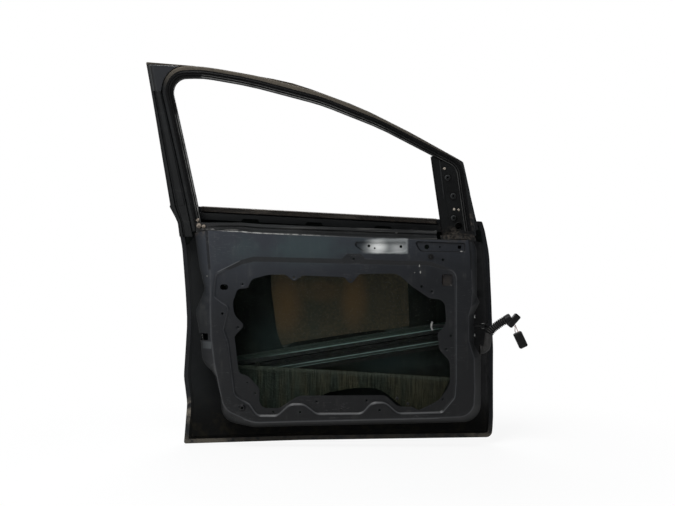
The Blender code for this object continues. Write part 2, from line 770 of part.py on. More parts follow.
def window_frame():
    """The roll-formed frame: a channel that holds the run seal, with a closed box section behind it."""
    path = run_path(FRAME_FOOT)
    widths = frame_widths(path)
    inner, back = SASH_IN + 1.5 + GAP, FRAME_FACE
    floor = 18.0
    profile = [
        (4, inner), (40, inner), (40, 30), (38, 43), (33, back), (20.6, back),
        (20.6, RUN_LEG_IN), (4, RUN_LEG_IN),
        (4, RUN_LEG_IN - 1.5), (floor, RUN_LEG_IN - 1.5), (floor, inner + 1.5), (4, inner + 1.5),
    ]

    def place(point, normal, spot, i):
        wide = spot[0] if spot[0] <= 20.6 else 20.6 + (spot[0] - 20.6) * (widths[i] - 20.6) / 19.4
        return frame_place(point, normal, (wide, spot[1]), i)

    return sweep("window_frame", path, profile, frame_paint(), place)


def glass_run_seal():
    """The rubber run: it lines the channel, wraps its cabin leg and has two lips for the glass."""
    inner = SASH_IN + 3.0 + 2 * GAP
    leg = RUN_LEG_IN
    profile = [
        (17.7, leg - 1.8), (17.7, inner), (3, inner), (-1, 21), (2, 24), (13, 22.5), (13, 34), (1, 35),
        (-3, 40), (-2, 48), (3, 50.5), (7, 49.4), (9, 51.2), (11, 49.4), (20.2, 50), (20.2, leg + GAP),
        (3.7, leg + GAP), (3.7, leg - 1.8),
    ]
    return sweep("glass_run_seal", run_path(FRAME_FOOT), profile, seal_rubber(), frame_place)


def frame_sash():
    """The flat outer sash of the window frame, which also shows as a thin flange over the header."""
    outline = rounded(FRAME_OUTLINE, closed=False)
    lip = moved_out(run_path(FRAME_FOOT), 2.0, closed=False)
    loop = outline + lip[::-1]
    boundary = (loop, on_side(loop, SASH_IN + 1.5), True)
    return pressing("frame_sash", boundary, [], [], sash_paint(), 1.5)


def line_x(corners, z):
    """X of an outline's own side at a height, read from its later corners."""
    for a, b in zip(corners[::-1], corners[-2::-1]):
        if a[1] <= z <= b[1]:
            return a[0] + (b[0] - a[0]) * (z - a[1]) / (b[1] - a[1])
    return corners[-1][0]


def pillar_place(point, normal, spot, _):
    """A rear pillar profile's point: its share of the way from the outer edge to the channel."""
    z = point.y
    outer = line_x(FRAME_OUTLINE, z) + 1.0
    inner = line_x(RUN_LINE, z) - (FRAME_WIDE + GAP) * 1.02
    return outer + (inner - outer) * spot[0], side(z) - spot[1], z


def upright(levels):
    return [Vector((0.0, z)) for z in levels]


def rear_pillar():
    """The stamped rear pillar: outer flange, wall, bead, groove and the face under its cover."""
    levels = [FRAME_FOOT - 22.0, FRAME_FOOT + 22.0, 249.0, 310.0, 360.0, 411.0, 480.0, 540.0, PILLAR_TOP]
    back = SASH_IN + 2.3
    line = [
        (0.0, back), (0.16, back), (0.22, 40), (0.32, 41.5), (0.36, 34), (0.46, 34), (0.5, 41.5), (1.0, 41.5),
    ]
    front = [(share, depth + 1.5) for share, depth in line]
    front[2] = (0.18, 41.5)
    front[4] = (0.37, 36.5)
    front[5] = (0.45, 36.5)
    profile = line + [(1.0, 43.0)] + front[-2::-1]
    return sweep("rear_pillar", upright(levels), profile, frame_paint(), pillar_place)


def pillar_cover():
    """The strip that covers the pillar's face and ends in a step above the belt."""
    levels = [COVER_FOOT, 310.0, 360.0, 411.0, 480.0, 540.0, PILLAR_TOP - 2.0]
    profile = [(0.56, 43.3), (0.56, 45.0), (0.6, 46.5), (0.9, 46.5), (0.94, 45.0), (0.94, 43.3)]
    return sweep("pillar_cover", upright(levels), profile, sash_paint(), pillar_place)


def frame_corner_gusset():
    """The flat triangle between the frame's round corner and its sharp outer one."""
    path = run_path(FRAME_FOOT)
    arc = [p for p in moved_out(path, FRAME_WIDE + 1.2, closed=False) if p.y > PILLAR_TOP + 4 and p.x < -898]
    foot = (line_x(FRAME_OUTLINE, PILLAR_TOP) + 3, PILLAR_TOP + GAP, 0)
    corners = [(arc[0].x, arc[0].y + 2.0, 0), GUSSET_TIP, foot]
    edge = rounded(corners, closed=False)
    fold = [Vector((p.x + 7, p.y - 7)) for p in edge[1:-1]]
    fold = [edge[0] + Vector((0, -3.5)), *fold, edge[-1] + Vector((8, 0))]
    side_foot = Vector((arc[-1].x - 4.0, PILLAR_TOP + GAP))
    loop = [edge[0], *edge[1:], fold[-1], side_foot, *arc[::-1]]
    places = on_side(edge, SASH_IN + 3.6) + on_side([fold[-1], side_foot, *arc[::-1]], 42.0)
    contours = [(fold[1:], on_side(fold[1:], 42.0), False)]
    return pressing("frame_corner_gusset", (loop, places, True), contours, [], panel_paint(), 1.5)


def channel(name, levels, line, wide, way, paint):
    """An open guide channel along a slanted line, whose mouth faces the glass."""
    low, high = 16.0, 45.0
    profile = [(0, low), (wide, low), (wide, high), (0, high), (0, high - 1.5), (wide - 1.5, high - 1.5),
               (wide - 1.5, low + 1.5), (0, low + 1.5)]

    def place(point, _, spot, __):
        z = point.y
        return line(z) + spot[0] * way, side(z) - spot[1], z

    return sweep(name, upright(levels), profile, paint, place)


def rear_x(z):
    """X of the mouth of the rear guide channel, in line with the run in the rear pillar."""
    return line_x(RUN_LINE, z) - 4.0


def bar_x(z):
    """X of the divider bar's rear edge."""
    return BAR_FOOT[0] + (BAR_HEAD[0] - BAR_FOOT[0]) * (z - BAR_FOOT[1]) / (BAR_HEAD[1] - BAR_FOOT[1])


def header_z(x, path):
    """Height of the header's lip line over a place."""
    for a, b in zip(path, path[1:]):
        if b.x <= x <= a.x and a.x - b.x > 0.01:
            return a.y + (b.y - a.y) * (a.x - x) / (a.x - b.x)
    return path[-1].y


def divider_bar():
    """The upright bar between the glass and the mirror corner, cut to the header's slope."""
    path = run_path(FRAME_FOOT)
    low, high = 17.0, RUN_LEG_IN
    profile = [(0, low), (BAR_WIDE, low), (BAR_WIDE, high), (0, high), (0, high - 1.5),
               (BAR_WIDE - 1.5, high - 1.5), (BAR_WIDE - 1.5, low + 1.5), (0, low + 1.5)]
    levels = [BAR_LOW, 100.0, 160.0, 210.0, 300.0, 380.0]

    def place(point, _, spot, i):
        z = point.y
        if i == len(levels) - 1:
            z = header_z(bar_x(400.0) + spot[0], path) - 5.0
        return bar_x(z) + spot[0], side(z) - spot[1], z

    return sweep("divider_bar", upright(levels), profile, frame_paint(), place)


def mirror_bracket():
    """The stamped plate of the mirror corner with three bosses, sloped down to the inner panel."""
    path = run_path(FRAME_FOOT)
    lip = [p for p in moved_out(path, -4.5, closed=False) if p.x > bar_x(p.y) + BAR_WIDE + 1.0]
    foot, after = lip[0], lip[1]
    crease = foot.lerp(after, (MIRROR_RAMP - foot.y) / (after.y - foot.y))
    lip[:1] = [Vector((foot.x, MIRROR_FOOT)), crease]
    middle, low = MIRROR_FOOT + 124.5, MIRROR_FOOT + 69.5
    levels = [lip[-1].y - 2.0, 330.0, middle, low, MIRROR_RAMP, MIRROR_FOOT]
    near = [Vector((bar_x(z) + BAR_WIDE + 0.5, z)) for z in levels]
    loop = lip + near
    plate = RUN_LEG_IN - 0.5
    foot_y = -FACE + 6.5

    def height(p):
        return foot_y if p.y <= MIRROR_FOOT + 0.01 else side(p.y) - plate

    boundary = (loop, [(p.x, height(p), p.y) for p in loop], True)
    ramp = [near[-2], crease]
    contours = [(ramp, on_side(ramp, plate), False)]
    holes = []
    for x, z in MIRROR_BOSSES:
        contours.append((circle(x, z, MIRROR_BOSS_R), on_side(circle(x, z, MIRROR_BOSS_R), plate), True))
        top = circle(x, z, MIRROR_BOSS_R - 2.5)
        contours.append((top, on_side(top, plate + MIRROR_BOSS_HIGH), True))
        hole = circle(x, z, SCREW_R, 6)
        holes.append((hole, on_side(hole, plate + MIRROR_BOSS_HIGH), True))
    x, z, radius = MIRROR_HOLE
    hole = circle(x, z, radius, 12)
    holes.append((hole, on_side(hole, plate), True))
    return pressing("mirror_bracket", boundary, contours, holes, frame_paint(), 1.5)


def mirror_rivets():
    rivets = []
    for k, (x, z) in enumerate(MIRROR_RIVETS):
        rows = [(0.0, RIVET_R), (1.2, RIVET_R), (2.4, RIVET_R * 0.6)]
        base = (x, side(z) - RUN_LEG_IN + 0.5 - 2 * GAP, z)
        lean = (side(z + 1.0) - side(z - 1.0)) / 2
        rivets.append(turned(f"mirror_rivet_{k + 1}", rows, bare_steel(), base, (0, -1, lean), 8))
    return rivets


def belt_z(x):
    """Height of the skin's belt edge."""
    (x0, z0, _), (x1, z1, _) = SKIN_OUTLINE[-1], SKIN_OUTLINE[0]
    return z0 + (z1 - z0) * (x - x0) / (x1 - x0)


def belt_place(point, _, spot, __):
    z = belt_z(point.x) + spot[0]
    return point.x, side(z) - spot[1], z


def across(low, high, parts):
    return [Vector((low + (high - low) * k / parts, 0.0)) for k in range(parts + 1)]


def outer_belt_strip():
    """The brown strip on the skin's belt edge, with its lip towards the glass."""
    leaf = SHEET * 1.5 + GAP
    profile = [(1.5, -leaf), (1.5, 6.0), (-1.0, 23.0), (-3.0, 23.0), (-3.5, 9.0), (-BELT_STRIP_HIGH, 8.0),
               (-BELT_STRIP_HIGH, leaf + GAP), (GAP, leaf + GAP), (GAP, -leaf)]
    return sweep("outer_belt_strip", across(BELT_REAR_X, BELT_FRONT_X, 8), profile, belt_rubber(), belt_place)


def outer_belt_reinforcement():
    """The long band clamped in the skin's belt hem, with notches in its lower edge."""
    low_x, high_x = BAND_REAR_X, BAND_FRONT_X
    face_in = SASH_IN - GAP
    top, bend, step, low = -SHEET - GAP, -15.5, -20.0, -BELT_STRIP_HIGH - BELT_BAND_HIGH
    bottom = []
    for x in SLOT_PLACES:
        half = SLOT_LONG / 2
        bottom += [(x - half, low), (x - half + 6, low + SLOT_HIGH)]
        bottom += [(x + half - 6, low + SLOT_HIGH), (x + half, low)]
    rows = ((top, SHEET / 2), (bend, SHEET / 2), (step, face_in), (low, face_in))

    def points(level, depth):
        run = [Vector((low_x + (high_x - low_x) * k / 8, 0.0)) for k in range(9)]
        return [Vector((p.x, belt_z(p.x) + level)) for p in run], depth

    upper, _ = points(*rows[0])
    lower = [Vector((low_x, belt_z(low_x) + low))]
    lower += [Vector((x, belt_z(x) + level)) for x, level in bottom]
    lower.append(Vector((high_x, belt_z(high_x) + low)))
    loop = upper[:]
    solid = on_side(upper, rows[0][1])
    contours = []
    for level, depth in rows[1:3]:
        row, _ = points(level, depth)
        contours.append((row, on_side(row, depth), False))
    for row_points, depth in ((contours[0][0][-1], rows[1][1]), (contours[1][0][-1], rows[2][1])):
        loop.append(row_points)
        solid += on_side([row_points], depth)
    loop += lower[::-1]
    solid += on_side(lower[::-1], face_in)
    for row_points, depth in ((contours[1][0][0], rows[2][1]), (contours[0][0][0], rows[1][1])):
        loop.append(row_points)
        solid += on_side([row_points], depth)
    return pressing("outer_belt_reinforcement", (loop, solid, True), contours, [], frame_paint(), SHEET)


def top_z(x):
    """Height of the inner panel's top edge."""
    for (x0, z0), (x1, z1) in zip(TOP_EDGE, TOP_EDGE[1:]):
        if x0 <= x <= x1:
            return z0 + (z1 - z0) * (x - x0) / (x1 - x0)
    return TOP_EDGE[0][1] if x < TOP_EDGE[0][0] else TOP_EDGE[-1][1]


def inner_belt_reinforcement():
    """The beaded strip that stiffens the belt, welded behind the inner panel's top edge."""
    cabin = [(-6.2, -83.4), (-5.4, -83.4), (-0.5, -78.3), (6, -60), (10, -56), (14, -56), (17, -60), (26, -60),
             (27, -54)]
    back = moved_out([Vector(spot) for spot in cabin], BELT_RAIL_SIDE * SHEET, closed=False)
    outboard = [(spot.x, spot.y) for spot in back[::-1]]
    profile = cabin + outboard
    levels = [INNER_BELT_REAR_X, -852.0, -810.0, *(x for x, _ in TOP_EDGE[:-1]), BELT_FRONT_X - 4.0]

    def place(point, _, spot, i):
        least = -56.0 if point.x < -850.0 else -90.0
        if spot in outboard:
            least += SHEET
        return point.x, max(spot[1], least), top_z(point.x) + spot[0]

    run = [Vector((x, 0.0)) for x in levels]
    return sweep("inner_belt_reinforcement", run, profile, frame_paint(), place)


def intrusion_beam():
    """The corrugated side beam, pressed flat at both ends where it lies behind the panel's land."""
    crest, foot = BEAM_CREST_IN, BEAM_FOOT_IN
    line = [(-16, foot), (-6, foot), (0, crest), (12, crest), (18, 7), (30, 7), (36, crest), (48, crest),
            (54, foot), (66, foot)]
    thick = 1.8
    rear, front = Vector(BEAM_REAR), Vector(BEAM_FRONT)
    way = (front - rear).normalized()
    down = Vector((way.y, -way.x))
    length = (front - rear).length
    shares = [(-BEAM_TAIL_REAR, 0.0), (0.0, 0.0), (40.0, 1.0)]
    shares += [(40.0 + (length - 80.0) * k / 5, 1.0) for k in range(1, 6)]
    shares += [(length, 0.0), (length + BEAM_TAIL_FRONT, 0.0)]
    flat = LAND - SHEET - GAP - thick
    profile = line + [(w, None) for w, _ in line[::-1]]
    verts, faces = [], []
    for along, height in shares:
        for k, (w, _) in enumerate(profile):
            depth = line[k][1] if k < len(line) else line[2 * len(line) - 1 - k][1]
            depth = flat + (depth - flat) * height
            spot = rear + way * along + down * w
            inwards = depth if k < len(line) else depth + thick
            verts.append((spot.x, side(spot.y) - inwards, spot.y))
    size = len(profile)
    for i in range(len(shares) - 1):
        for k in range(size):
            a, b = i * size + k, i * size + (k + 1) % size
            if k < len(line):
                faces += [(a, b, b + size), (a, b + size, a + size)]
            else:
                faces += [(a, b, a + size), (b, b + size, a + size)]
    faces.append(tuple(range(size)))
    faces.append(tuple((len(shares) - 1) * size + k for k in range(size)))
    return joined("intrusion_beam", mesh_from("intrusion_beam", verts, faces), frame_paint())


def hinge_plate(name, x, z):
    """A tapped plate inside the front wall, behind one hinge face."""
    back = x - SHEET - GAP
    low = (back - HINGE_PLATE, HINGE_Y - 17, z - HINGE_BOLT_SPAN / 2 - 13)
    high = (back, HINGE_Y + 19, z + HINGE_BOLT_SPAN / 2 + 13)
    plate = box(name, low, high, bare_steel())
    for k, shift in enumerate((-HINGE_BOLT_SPAN / 2, HINGE_BOLT_SPAN / 2)):
        start = (back - 9, HINGE_Y, z + shift)
        cut(plate, round_cutter(f"{name}_hole_{k}", start, (1, 0, 0), HINGE_BOLT_R - 1, 14))
    return plate


def lock_reinforcement():
    """The thick plate that lines the rear wall round the lock's mouth."""
    edge = rounded(RAISED_EDGE, closed=False)
    way = moved_out(edge, -SHEET - GAP, closed=False)
    line = [p for p in way if -226 < p.y < -92 and p.x < -700]
    inner = [p for p, q in zip(moved_out(edge, -SHEET - GAP - 2.0, closed=False), way) if q in line]
    verts, faces = [], []
    for outer_point, inner_point in zip(line, inner):
        top = -WALL_TOP + 2
        for p, y in ((outer_point, top), (inner_point, top), (inner_point, -8), (outer_point, -8)):
            verts.append((p.x, y, p.y))
    for i in range(len(line) - 1):
        for k in range(4):
            a, b = i * 4 + k, i * 4 + (k + 1) % 4
            faces.append((a, b, b + 4, a + 4))
    faces.append((0, 1, 2, 3))
    faces.append(tuple((len(line) - 1) * 4 + k for k in range(4)))
    plate = joined("lock_reinforcement", mesh_from("lock_reinforcement", verts, faces), bare_steel())
    half = LOCK_HIGH / 2 + 3
    low = (LOCK_REAR_X - 10, LOCK_OUT - 42, LOCK_Z - half)
    high = (LOCK_FRONT_X + 3, LOCK_OUT + 4, LOCK_Z + half)
    cut(plate, block_cutter("lock_plate_mouth", low, high))
    return plate


def check_box():
    """The housing of the door check: a flange against the wall and a slotted body behind it."""
    back = NOTCH_X - SHEET - GAP
    half = BOX_HIGH / 2
    tall = BOLT_SPAN / 2 + 9
    outline = [(back, -tall), (back, tall), (back - 3, tall), (back - 3, half), (back - BOX_LONG, half),
               (back - BOX_LONG, -half), (back - 3, -half), (back - 3, -tall)]
    verts = [(x, CHECK_Y + y, CHECK_Z + z) for y in (-13, 13) for x, z in outline]
    size = len(outline)
    faces = [tuple(range(size)), tuple(size + k for k in range(size))]
    faces += [(k, (k + 1) % size, size + (k + 1) % size, size + k) for k in range(size)]
    housing = joined("check_box", mesh_from("check_box", verts, faces), grey_plastic())
    low = (back - BOX_LONG - 5, CHECK_Y - ARM_WIDE / 2 - GAP, CHECK_Z - ARM_THICK / 2 - GAP)
    high = (back + 5, CHECK_Y + ARM_WIDE / 2 + GAP, CHECK_Z + ARM_THICK / 2 + GAP)
    cut(housing, block_cutter("check_way", low, high))
    for k, shift in enumerate((-BOLT_SPAN / 2, BOLT_SPAN / 2)):
        start = (back - 8, CHECK_Y, CHECK_Z + shift)
        hole = round_cutter(f"check_flange_hole_{k}", start, (1, 0, 0), BOLT_R + GAP, 14)
        cut(housing, hole)
    return housing


def check_bolts():
    """Two bolts, whose heads lie on the wall outside."""
    bolts = []
    for name, shift in (("check_bolt_lower", -BOLT_SPAN / 2), ("check_bolt_upper", BOLT_SPAN / 2)):
        rows = [(-9.0, BOLT_R), (GAP, BOLT_R), (GAP, 8.0), (1.8, 8.0), (1.8, 6.0), (7.0, 6.0)]
        bolts.append(turned(name, rows, bare_steel(), (NOTCH_X, CHECK_Y, CHECK_Z + shift), (1, 0, 0), 12))
    return bolts


def flat_piece(name, outline, low, high, paint, axis="z"):
    """A flat piece with an outline in plan and a thickness along Z, or along Y."""
    size = len(outline)
    verts = []
    for level in (low, high):
        verts.extend((p.x, p.y, level) if axis == "z" else (p.x, level, p.y) for p in outline)
    faces = [tuple(range(size)), tuple(size + k for k in range(size))]
    faces += [(k, (k + 1) % size, size + (k + 1) % size, size + k) for k in range(size)]
    return joined(name, mesh_from(name, verts, faces), paint)


def check_arm():
    """The strap that slides through the housing, with its eye for the pin."""
    half = ARM_WIDE / 2
    near, far = CHECK_Y - half, CHECK_Y + half
    outline = [
        (ARM_TAIL_X, near, 1), (ARM_TAIL_X, far, 1), (PIN_X - 4, far, 6), (PIN_X + 8, far + 1, 8),
        (PIN_X + 8, near - 1, 8), (PIN_X - 4, near, 6),
    ]
    low, high = CHECK_Z - ARM_THICK / 2, CHECK_Z + ARM_THICK / 2
    arm = flat_piece("check_arm", rounded(outline, longest=60.0), low, high, frame_paint())
    cut(arm, round_cutter("arm_eye", (PIN_X, CHECK_Y, CHECK_Z - 10), (0, 0, 1), PIN_R + GAP, 20, 12))
    return arm


def check_stop():
    """The bent stop plate on the arm's tail."""
    tail = ARM_TAIL_X
    outline = [
        (tail - GAP, CHECK_Z - 5, 1), (tail - GAP, CHECK_Z + 5, 1), (tail + 3, CHECK_Z + 13, 3),
        (tail - 1, CHECK_Z + 14, 1), (tail - 5, CHECK_Z + 5, 8), (tail - 5, CHECK_Z - 5, 8),
        (tail - 1, CHECK_Z - 14, 1), (tail + 3, CHECK_Z - 13, 3),
    ]
    return flat_piece("check_stop", rounded(outline), CHECK_Y - 10, CHECK_Y + 10, bare_steel(), "y")


def check_bracket():
    """The bracket that bolts to the car's body: two lugs round the arm's eye and a base."""
    inner, outer = ARM_THICK / 2 + 0.5, ARM_THICK / 2 + 3.5
    base = PIN_X + 13
    half = BRACKET_HIGH / 2
    outline = [
        (PIN_X - 8, outer), (base, outer), (base, half), (base + 3, half), (base + 3, -half), (base, -half),
        (base, -outer), (PIN_X - 8, -outer), (PIN_X - 8, -inner), (base - 3, -inner), (base - 3, inner),
        (PIN_X - 8, inner),
    ]
    points = [Vector((x, CHECK_Z + z)) for x, z in outline]
    bracket = flat_piece("check_bracket", points, CHECK_Y - 9, CHECK_Y + 9, frame_paint(), "y")
    cut(bracket, round_cutter("bracket_eye", (PIN_X, CHECK_Y, CHECK_Z - 15), (0, 0, 1), PIN_R + GAP, 30, 12))
    return bracket


def check_pin():
    reach_z = ARM_THICK / 2 + 3.5 + GAP
    rows = [(-reach_z - 2, 6.0), (-reach_z, 6.0), (-reach_z, PIN_R), (reach_z, PIN_R), (reach_z, 5.5)]
    rows.append((reach_z + 2, 5.5))
    return turned("check_pin", rows, bare_steel(), (PIN_X, CHECK_Y, CHECK_Z), (0, 0, 1), 12)


def smooth_route(points, step):
    """Points along a smooth curve through a route's own points."""
    route = [Vector(p) for p in points]
    ends = [route[0] * 2 - route[1], *route, route[-1] * 2 - route[-2]]
    result = []
    for i in range(1, len(ends) - 2):
        a, b, c, d = ends[i - 1:i + 3]
        parts = max(1, round((c - b).length / step))
        for k in range(parts):
            t = k / parts
            result.append(0.5 * (2 * b + (c - a) * t + (2 * a - 5 * b + 4 * c - d) * t * t
                                 + (3 * b - a - 3 * c + d) * t ** 3))
    result.append(route[-1])
    return result


def hose(name, stations, paint, sides=12):
    """A round rubber piece: stations are (centre, radius), closed at both ends."""
    verts, faces = [], []
    centres = [c for c, _ in stations]
    for i, (centre, radius) in enumerate(stations):
        ahead = centres[min(i + 1, len(centres) - 1)] - centres[max(i - 1, 0)]
        way = ahead.normalized()
        first = way.cross(Vector((0, 1, 0))).normalized()
        second = way.cross(first)
        for k in range(sides):
            angle = 2 * math.pi * k / sides
            verts.append(centre + (first * math.cos(angle) + second * math.sin(angle)) * radius)
    for i in range(len(stations) - 1):
        for k in range(sides):
            a, b = i * sides + k, i * sides + (k + 1) % sides
            faces.append((a, b, b + sides, a + sides))
    faces.append(tuple(range(sides)))
    faces.append(tuple((len(stations) - 1) * sides + k for k in range(sides)))
    return joined(name, mesh_from(name, verts, faces), paint, 50.0)


def harness_boot():
    """The rubber boot: a flange on the wall, a smooth neck and a folded bellows."""
    neck = smooth_route(BOOT_ROUTE[:5], 9.0)
    folds = smooth_route(BOOT_ROUTE[4:], 0.5)
    stations = [(neck[0], BOOT_R + 6), (neck[0] + Vector((3, 0, 0)), BOOT_R + 6)]
    stations += [(p, BOOT_R) for p in neck[1:]]
    count = 2 * BOOT_FOLDS
    for k in range(1, count + 1):
        centre = folds[round(k * (len(folds) - 1) / count)]
        stations.append((centre, BOOT_R + (BOOT_RIDGE if k % 2 else 0.0)))
    return hose("harness_boot", stations, seal_rubber())


def boot_collar():
    """The rigid collar between the boot and its connector."""
    start = Vector(BOOT_ROUTE[-1])
    way = (start - Vector(BOOT_ROUTE[-2])).normalized()
    rows = [(GAP, BOOT_R), (3.0, BOOT_R + 2), (16.0, BOOT_R + 2.5), (22.0, BOOT_R + 1)]
    collar = turned("boot_collar", rows, grey_plastic(), start, way, 14)
    room = [size + 2 * GAP for size in CONNECTOR_SIZE]
    room[2] += 30.0
    end = tilted_box("collar_end", CONNECTOR, room, CONNECTOR_TILT, grey_plastic(), 0.0)
    cut(collar, cutter("collar_end", end))
    return collar


def tilted_box(name, centre, size, tilt, paint, bevel):
    """A block turned about Y, with broken edges."""
    half = [value / 2 for value in size]
    block = box(name, [-value for value in half], half, paint, bevel)
    block.rotation_euler = (0.0, math.radians(tilt), 0.0)
    block.location = Vector(centre) * MM
    return block


def on_block(centre, tilt, x, y, z):
    """The place of a point given in a tilted block's own directions."""
    turn = math.radians(tilt)
    return Vector(centre) + Vector((x * math.cos(turn) + z * math.sin(turn), y,
                                    z * math.cos(turn) - x * math.sin(turn)))


def main_connector():
    return tilted_box("main_connector", CONNECTOR, CONNECTOR_SIZE, CONNECTOR_TILT, grey_plastic(), 3.0)


def small_connector():
    return tilted_box("small_connector", SMALL_CONNECTOR, SMALL_SIZE, SMALL_TILT, seal_rubber(), 3.0)


def lead_route(along, depth, across_small, depth_small):
    """A wire's own points, from the main connector's front face to the small one's top."""
    face, top = CONNECTOR_SIZE[0] / 2 + GAP, SMALL_SIZE[2] / 2 + GAP
    return [
        on_block(CONNECTOR, CONNECTOR_TILT, face, depth, along),
        on_block(CONNECTOR, CONNECTOR_TILT, face + 5.0, depth, along),
        on_block(SMALL_CONNECTOR, SMALL_TILT, across_small, depth_small, top + 5.0),
        on_block(SMALL_CONNECTOR, SMALL_TILT, across_small, depth_small, top),
    ]


def lead_wires():
    """Two short loose wires from the collar to the small connector."""
    wires = []
    for k, ends in enumerate(LEAD_ENDS):
        name = f"lead_wire_{k + 1}"
        curve = bpy.data.curves.new(name, "CURVE")
        curve.dimensions = "3D"
        curve.bevel_depth = LEAD_R * MM
        curve.bevel_resolution = 2
        curve.use_fill_caps = True
        points = smooth_route(lead_route(*ends), 5.0)
        spline = curve.splines.new("POLY")
        spline.points.add(len(points) - 1)
        for spot, p in zip(spline.points, points):
            spot.co = (p.x * MM, p.y * MM, p.z * MM, 1.0)
        curve.materials.append(wire_cover())
        wire = bpy.data.objects.new(name, curve)
        bpy.context.scene.collection.objects.link(wire)
        wires.append(wire)
    return wires


def window_glass():
    """The lowered pane: its head follows the header, its foot has two lobes."""
    outline = rounded(GLASS_OUTLINE, longest=95.0)
    depth = GLASS_IN + GLASS_THICK / 2
    extra = [((p.x, p.y), (p.x, side(p.y) - depth, p.y)) for p in grid(outline, 90.0, 22.0)]
    boundary = (outline, on_side(outline, GLASS_IN + GLASS_THICK / 2), True)
    return pressing("window_glass", boundary, [], [], glass(), GLASS_THICK, extra)


def floor_z(x):
    """Height of the inner panel's bottom wall."""
    corners = [corner for corner in RAISED_EDGE if corner[1] < -430]
    for a, b in zip(corners, corners[1:]):
        if b[0] <= x <= a[0]:
            return a[1] + (b[1] - a[1]) * (x - a[0]) / (b[0] - a[0])
    return corners[-1][1]


def glass_stops():
    """Two rubber stops on the door's floor, under the pane's lobes."""
    stops = []
    for name, x, top in (("glass_stop_rear", -640, LOBE_REAR_Z), ("glass_stop_front", -165, LOBE_FRONT_Z)):
        floor = floor_z(x + 16) + SHEET + GAP
        low, high = (x - 16, -26, floor), (x + 16, 10.0, top - STOP_GAP)
        stops.append(box(name, low, high, seal_rubber(), 1.5))
    return stops


def damping_pad():
    """The damping sheet on the inside of the outer skin."""
    outline = rounded(PAD_OUTLINE, longest=95.0)
    off = SHEET / 2 + GAP - PAD_GAP - PAD_THICK
    extra = [((p.x, p.y), (p.x, skin_y(p.x, p.y) + off, p.y)) for p in grid(outline, 90.0, 25.0)]
    boundary = (outline, [(p.x, skin_y(p.x, p.y) + off, p.y) for p in outline], True)
    return pressing("damping_pad", boundary, [], [], damping(), PAD_THICK, extra)


def harness_clip():
    """The plug with a T handle in the upper clip hole."""
    x, z, _ = FACE_HOLES[3]
    rows = [(-6.0, 5.0), (GAP, 5.0), (GAP, 9.0), (1.8, 9.0), (1.8, 2.5), (7.3, 2.5)]
    return turned("harness_clip", rows, grey_plastic(), (x, -FACE, z), (0, -1, 0), 10)


def main():
    clear_scene()
    root = bpy.data.objects.new("door", None)
    bpy.context.scene.collection.objects.link(root)
    root.location = (0.0, -HINGE_Y * MM, 0.0)
    pieces = [
        inner_panel(), outer_skin(), window_frame(), glass_run_seal(), frame_sash(), rear_pillar(),
        pillar_cover(), frame_corner_gusset(), divider_bar(), mirror_bracket(), *mirror_rivets(),
        channel("rear_glass_channel", [-150.0, 10.0, FRAME_FOOT - 4.0], rear_x, 16.0, -1.0, bare_steel()),
        channel("front_glass_channel", [-200.0, -80.0, BAR_LOW - GAP], bar_x, BAR_WIDE - 4, 1.0, bare_steel()),
        outer_belt_strip(), outer_belt_reinforcement(), inner_belt_reinforcement(), intrusion_beam(),
        hinge_plate("upper_hinge_plate", WALL_X, 0.0),
        hinge_plate("lower_hinge_plate", LOWER_HINGE_X, LOWER_HINGE_Z),
        lock_reinforcement(), check_box(), *check_bolts(), check_arm(), check_stop(), check_bracket(),
        check_pin(), harness_boot(), boot_collar(), main_connector(), small_connector(), *lead_wires(),
        window_glass(), *glass_stops(), damping_pad(), harness_clip(),
    ]
    for piece in pieces:
        piece.parent = root
    for guide in [obj for obj in bpy.data.objects if obj.hide_render]:
        guide.parent = root


main()
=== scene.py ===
import math

import bmesh
import bpy
from bpy.props import FloatProperty, FloatVectorProperty, IntProperty, PointerProperty
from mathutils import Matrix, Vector
from mathutils.geometry import delaunay_2d_cdt


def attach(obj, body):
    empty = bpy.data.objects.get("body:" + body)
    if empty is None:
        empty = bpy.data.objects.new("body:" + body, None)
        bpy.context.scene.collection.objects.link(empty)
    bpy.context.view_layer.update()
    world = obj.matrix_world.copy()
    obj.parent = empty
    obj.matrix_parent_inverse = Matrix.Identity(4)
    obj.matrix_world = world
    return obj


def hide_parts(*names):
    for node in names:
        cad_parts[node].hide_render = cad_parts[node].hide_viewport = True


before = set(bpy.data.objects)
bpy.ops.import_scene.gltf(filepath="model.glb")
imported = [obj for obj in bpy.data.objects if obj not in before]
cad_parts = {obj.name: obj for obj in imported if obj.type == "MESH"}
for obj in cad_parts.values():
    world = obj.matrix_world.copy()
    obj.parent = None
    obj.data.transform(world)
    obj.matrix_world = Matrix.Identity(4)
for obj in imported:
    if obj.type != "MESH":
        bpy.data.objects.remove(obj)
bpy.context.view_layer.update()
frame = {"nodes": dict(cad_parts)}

bl_info = {
    "name": "Car Door Shell",
    "version": (1, 0, 0),
    "blender": (4, 5, 0),
    "location": "3D View > Sidebar > Door Shell",
    "description": "Builds a stripped front door shell with its frame, lowered glass, check arm and harness boot",
    "category": "Object",
}

# Drawing sizes in millimetres: X forward, Y out of the car from the hem plane, Z up
MM = 0.001
OUT = 35.0
GAP = 0.3
SLIVER = 0.02
SHEET = 1.2
SIDE_RADIUS, SIDE_MID, SIDE_RISE, CROWN = 2300.0, -130.0, 29.0, 7.0
LAND, WALL_FOOT, WALL_TOP, FACE = 8.0, 14.0, 58.0, 85.0
FOOT_ROUND = 6.0
FIELD_DEPTH, POCKET_DEPTH, HEM, PANEL_TOP = 7.0, 6.0, 12.0, 140.0
FIELD_Y = -FACE + FIELD_DEPTH
# A dimple's depth round a screw hole in the field, and the room it needs beyond the hole's edge
DIMPLE, DIMPLE_ROOM = 1.3, 4.8
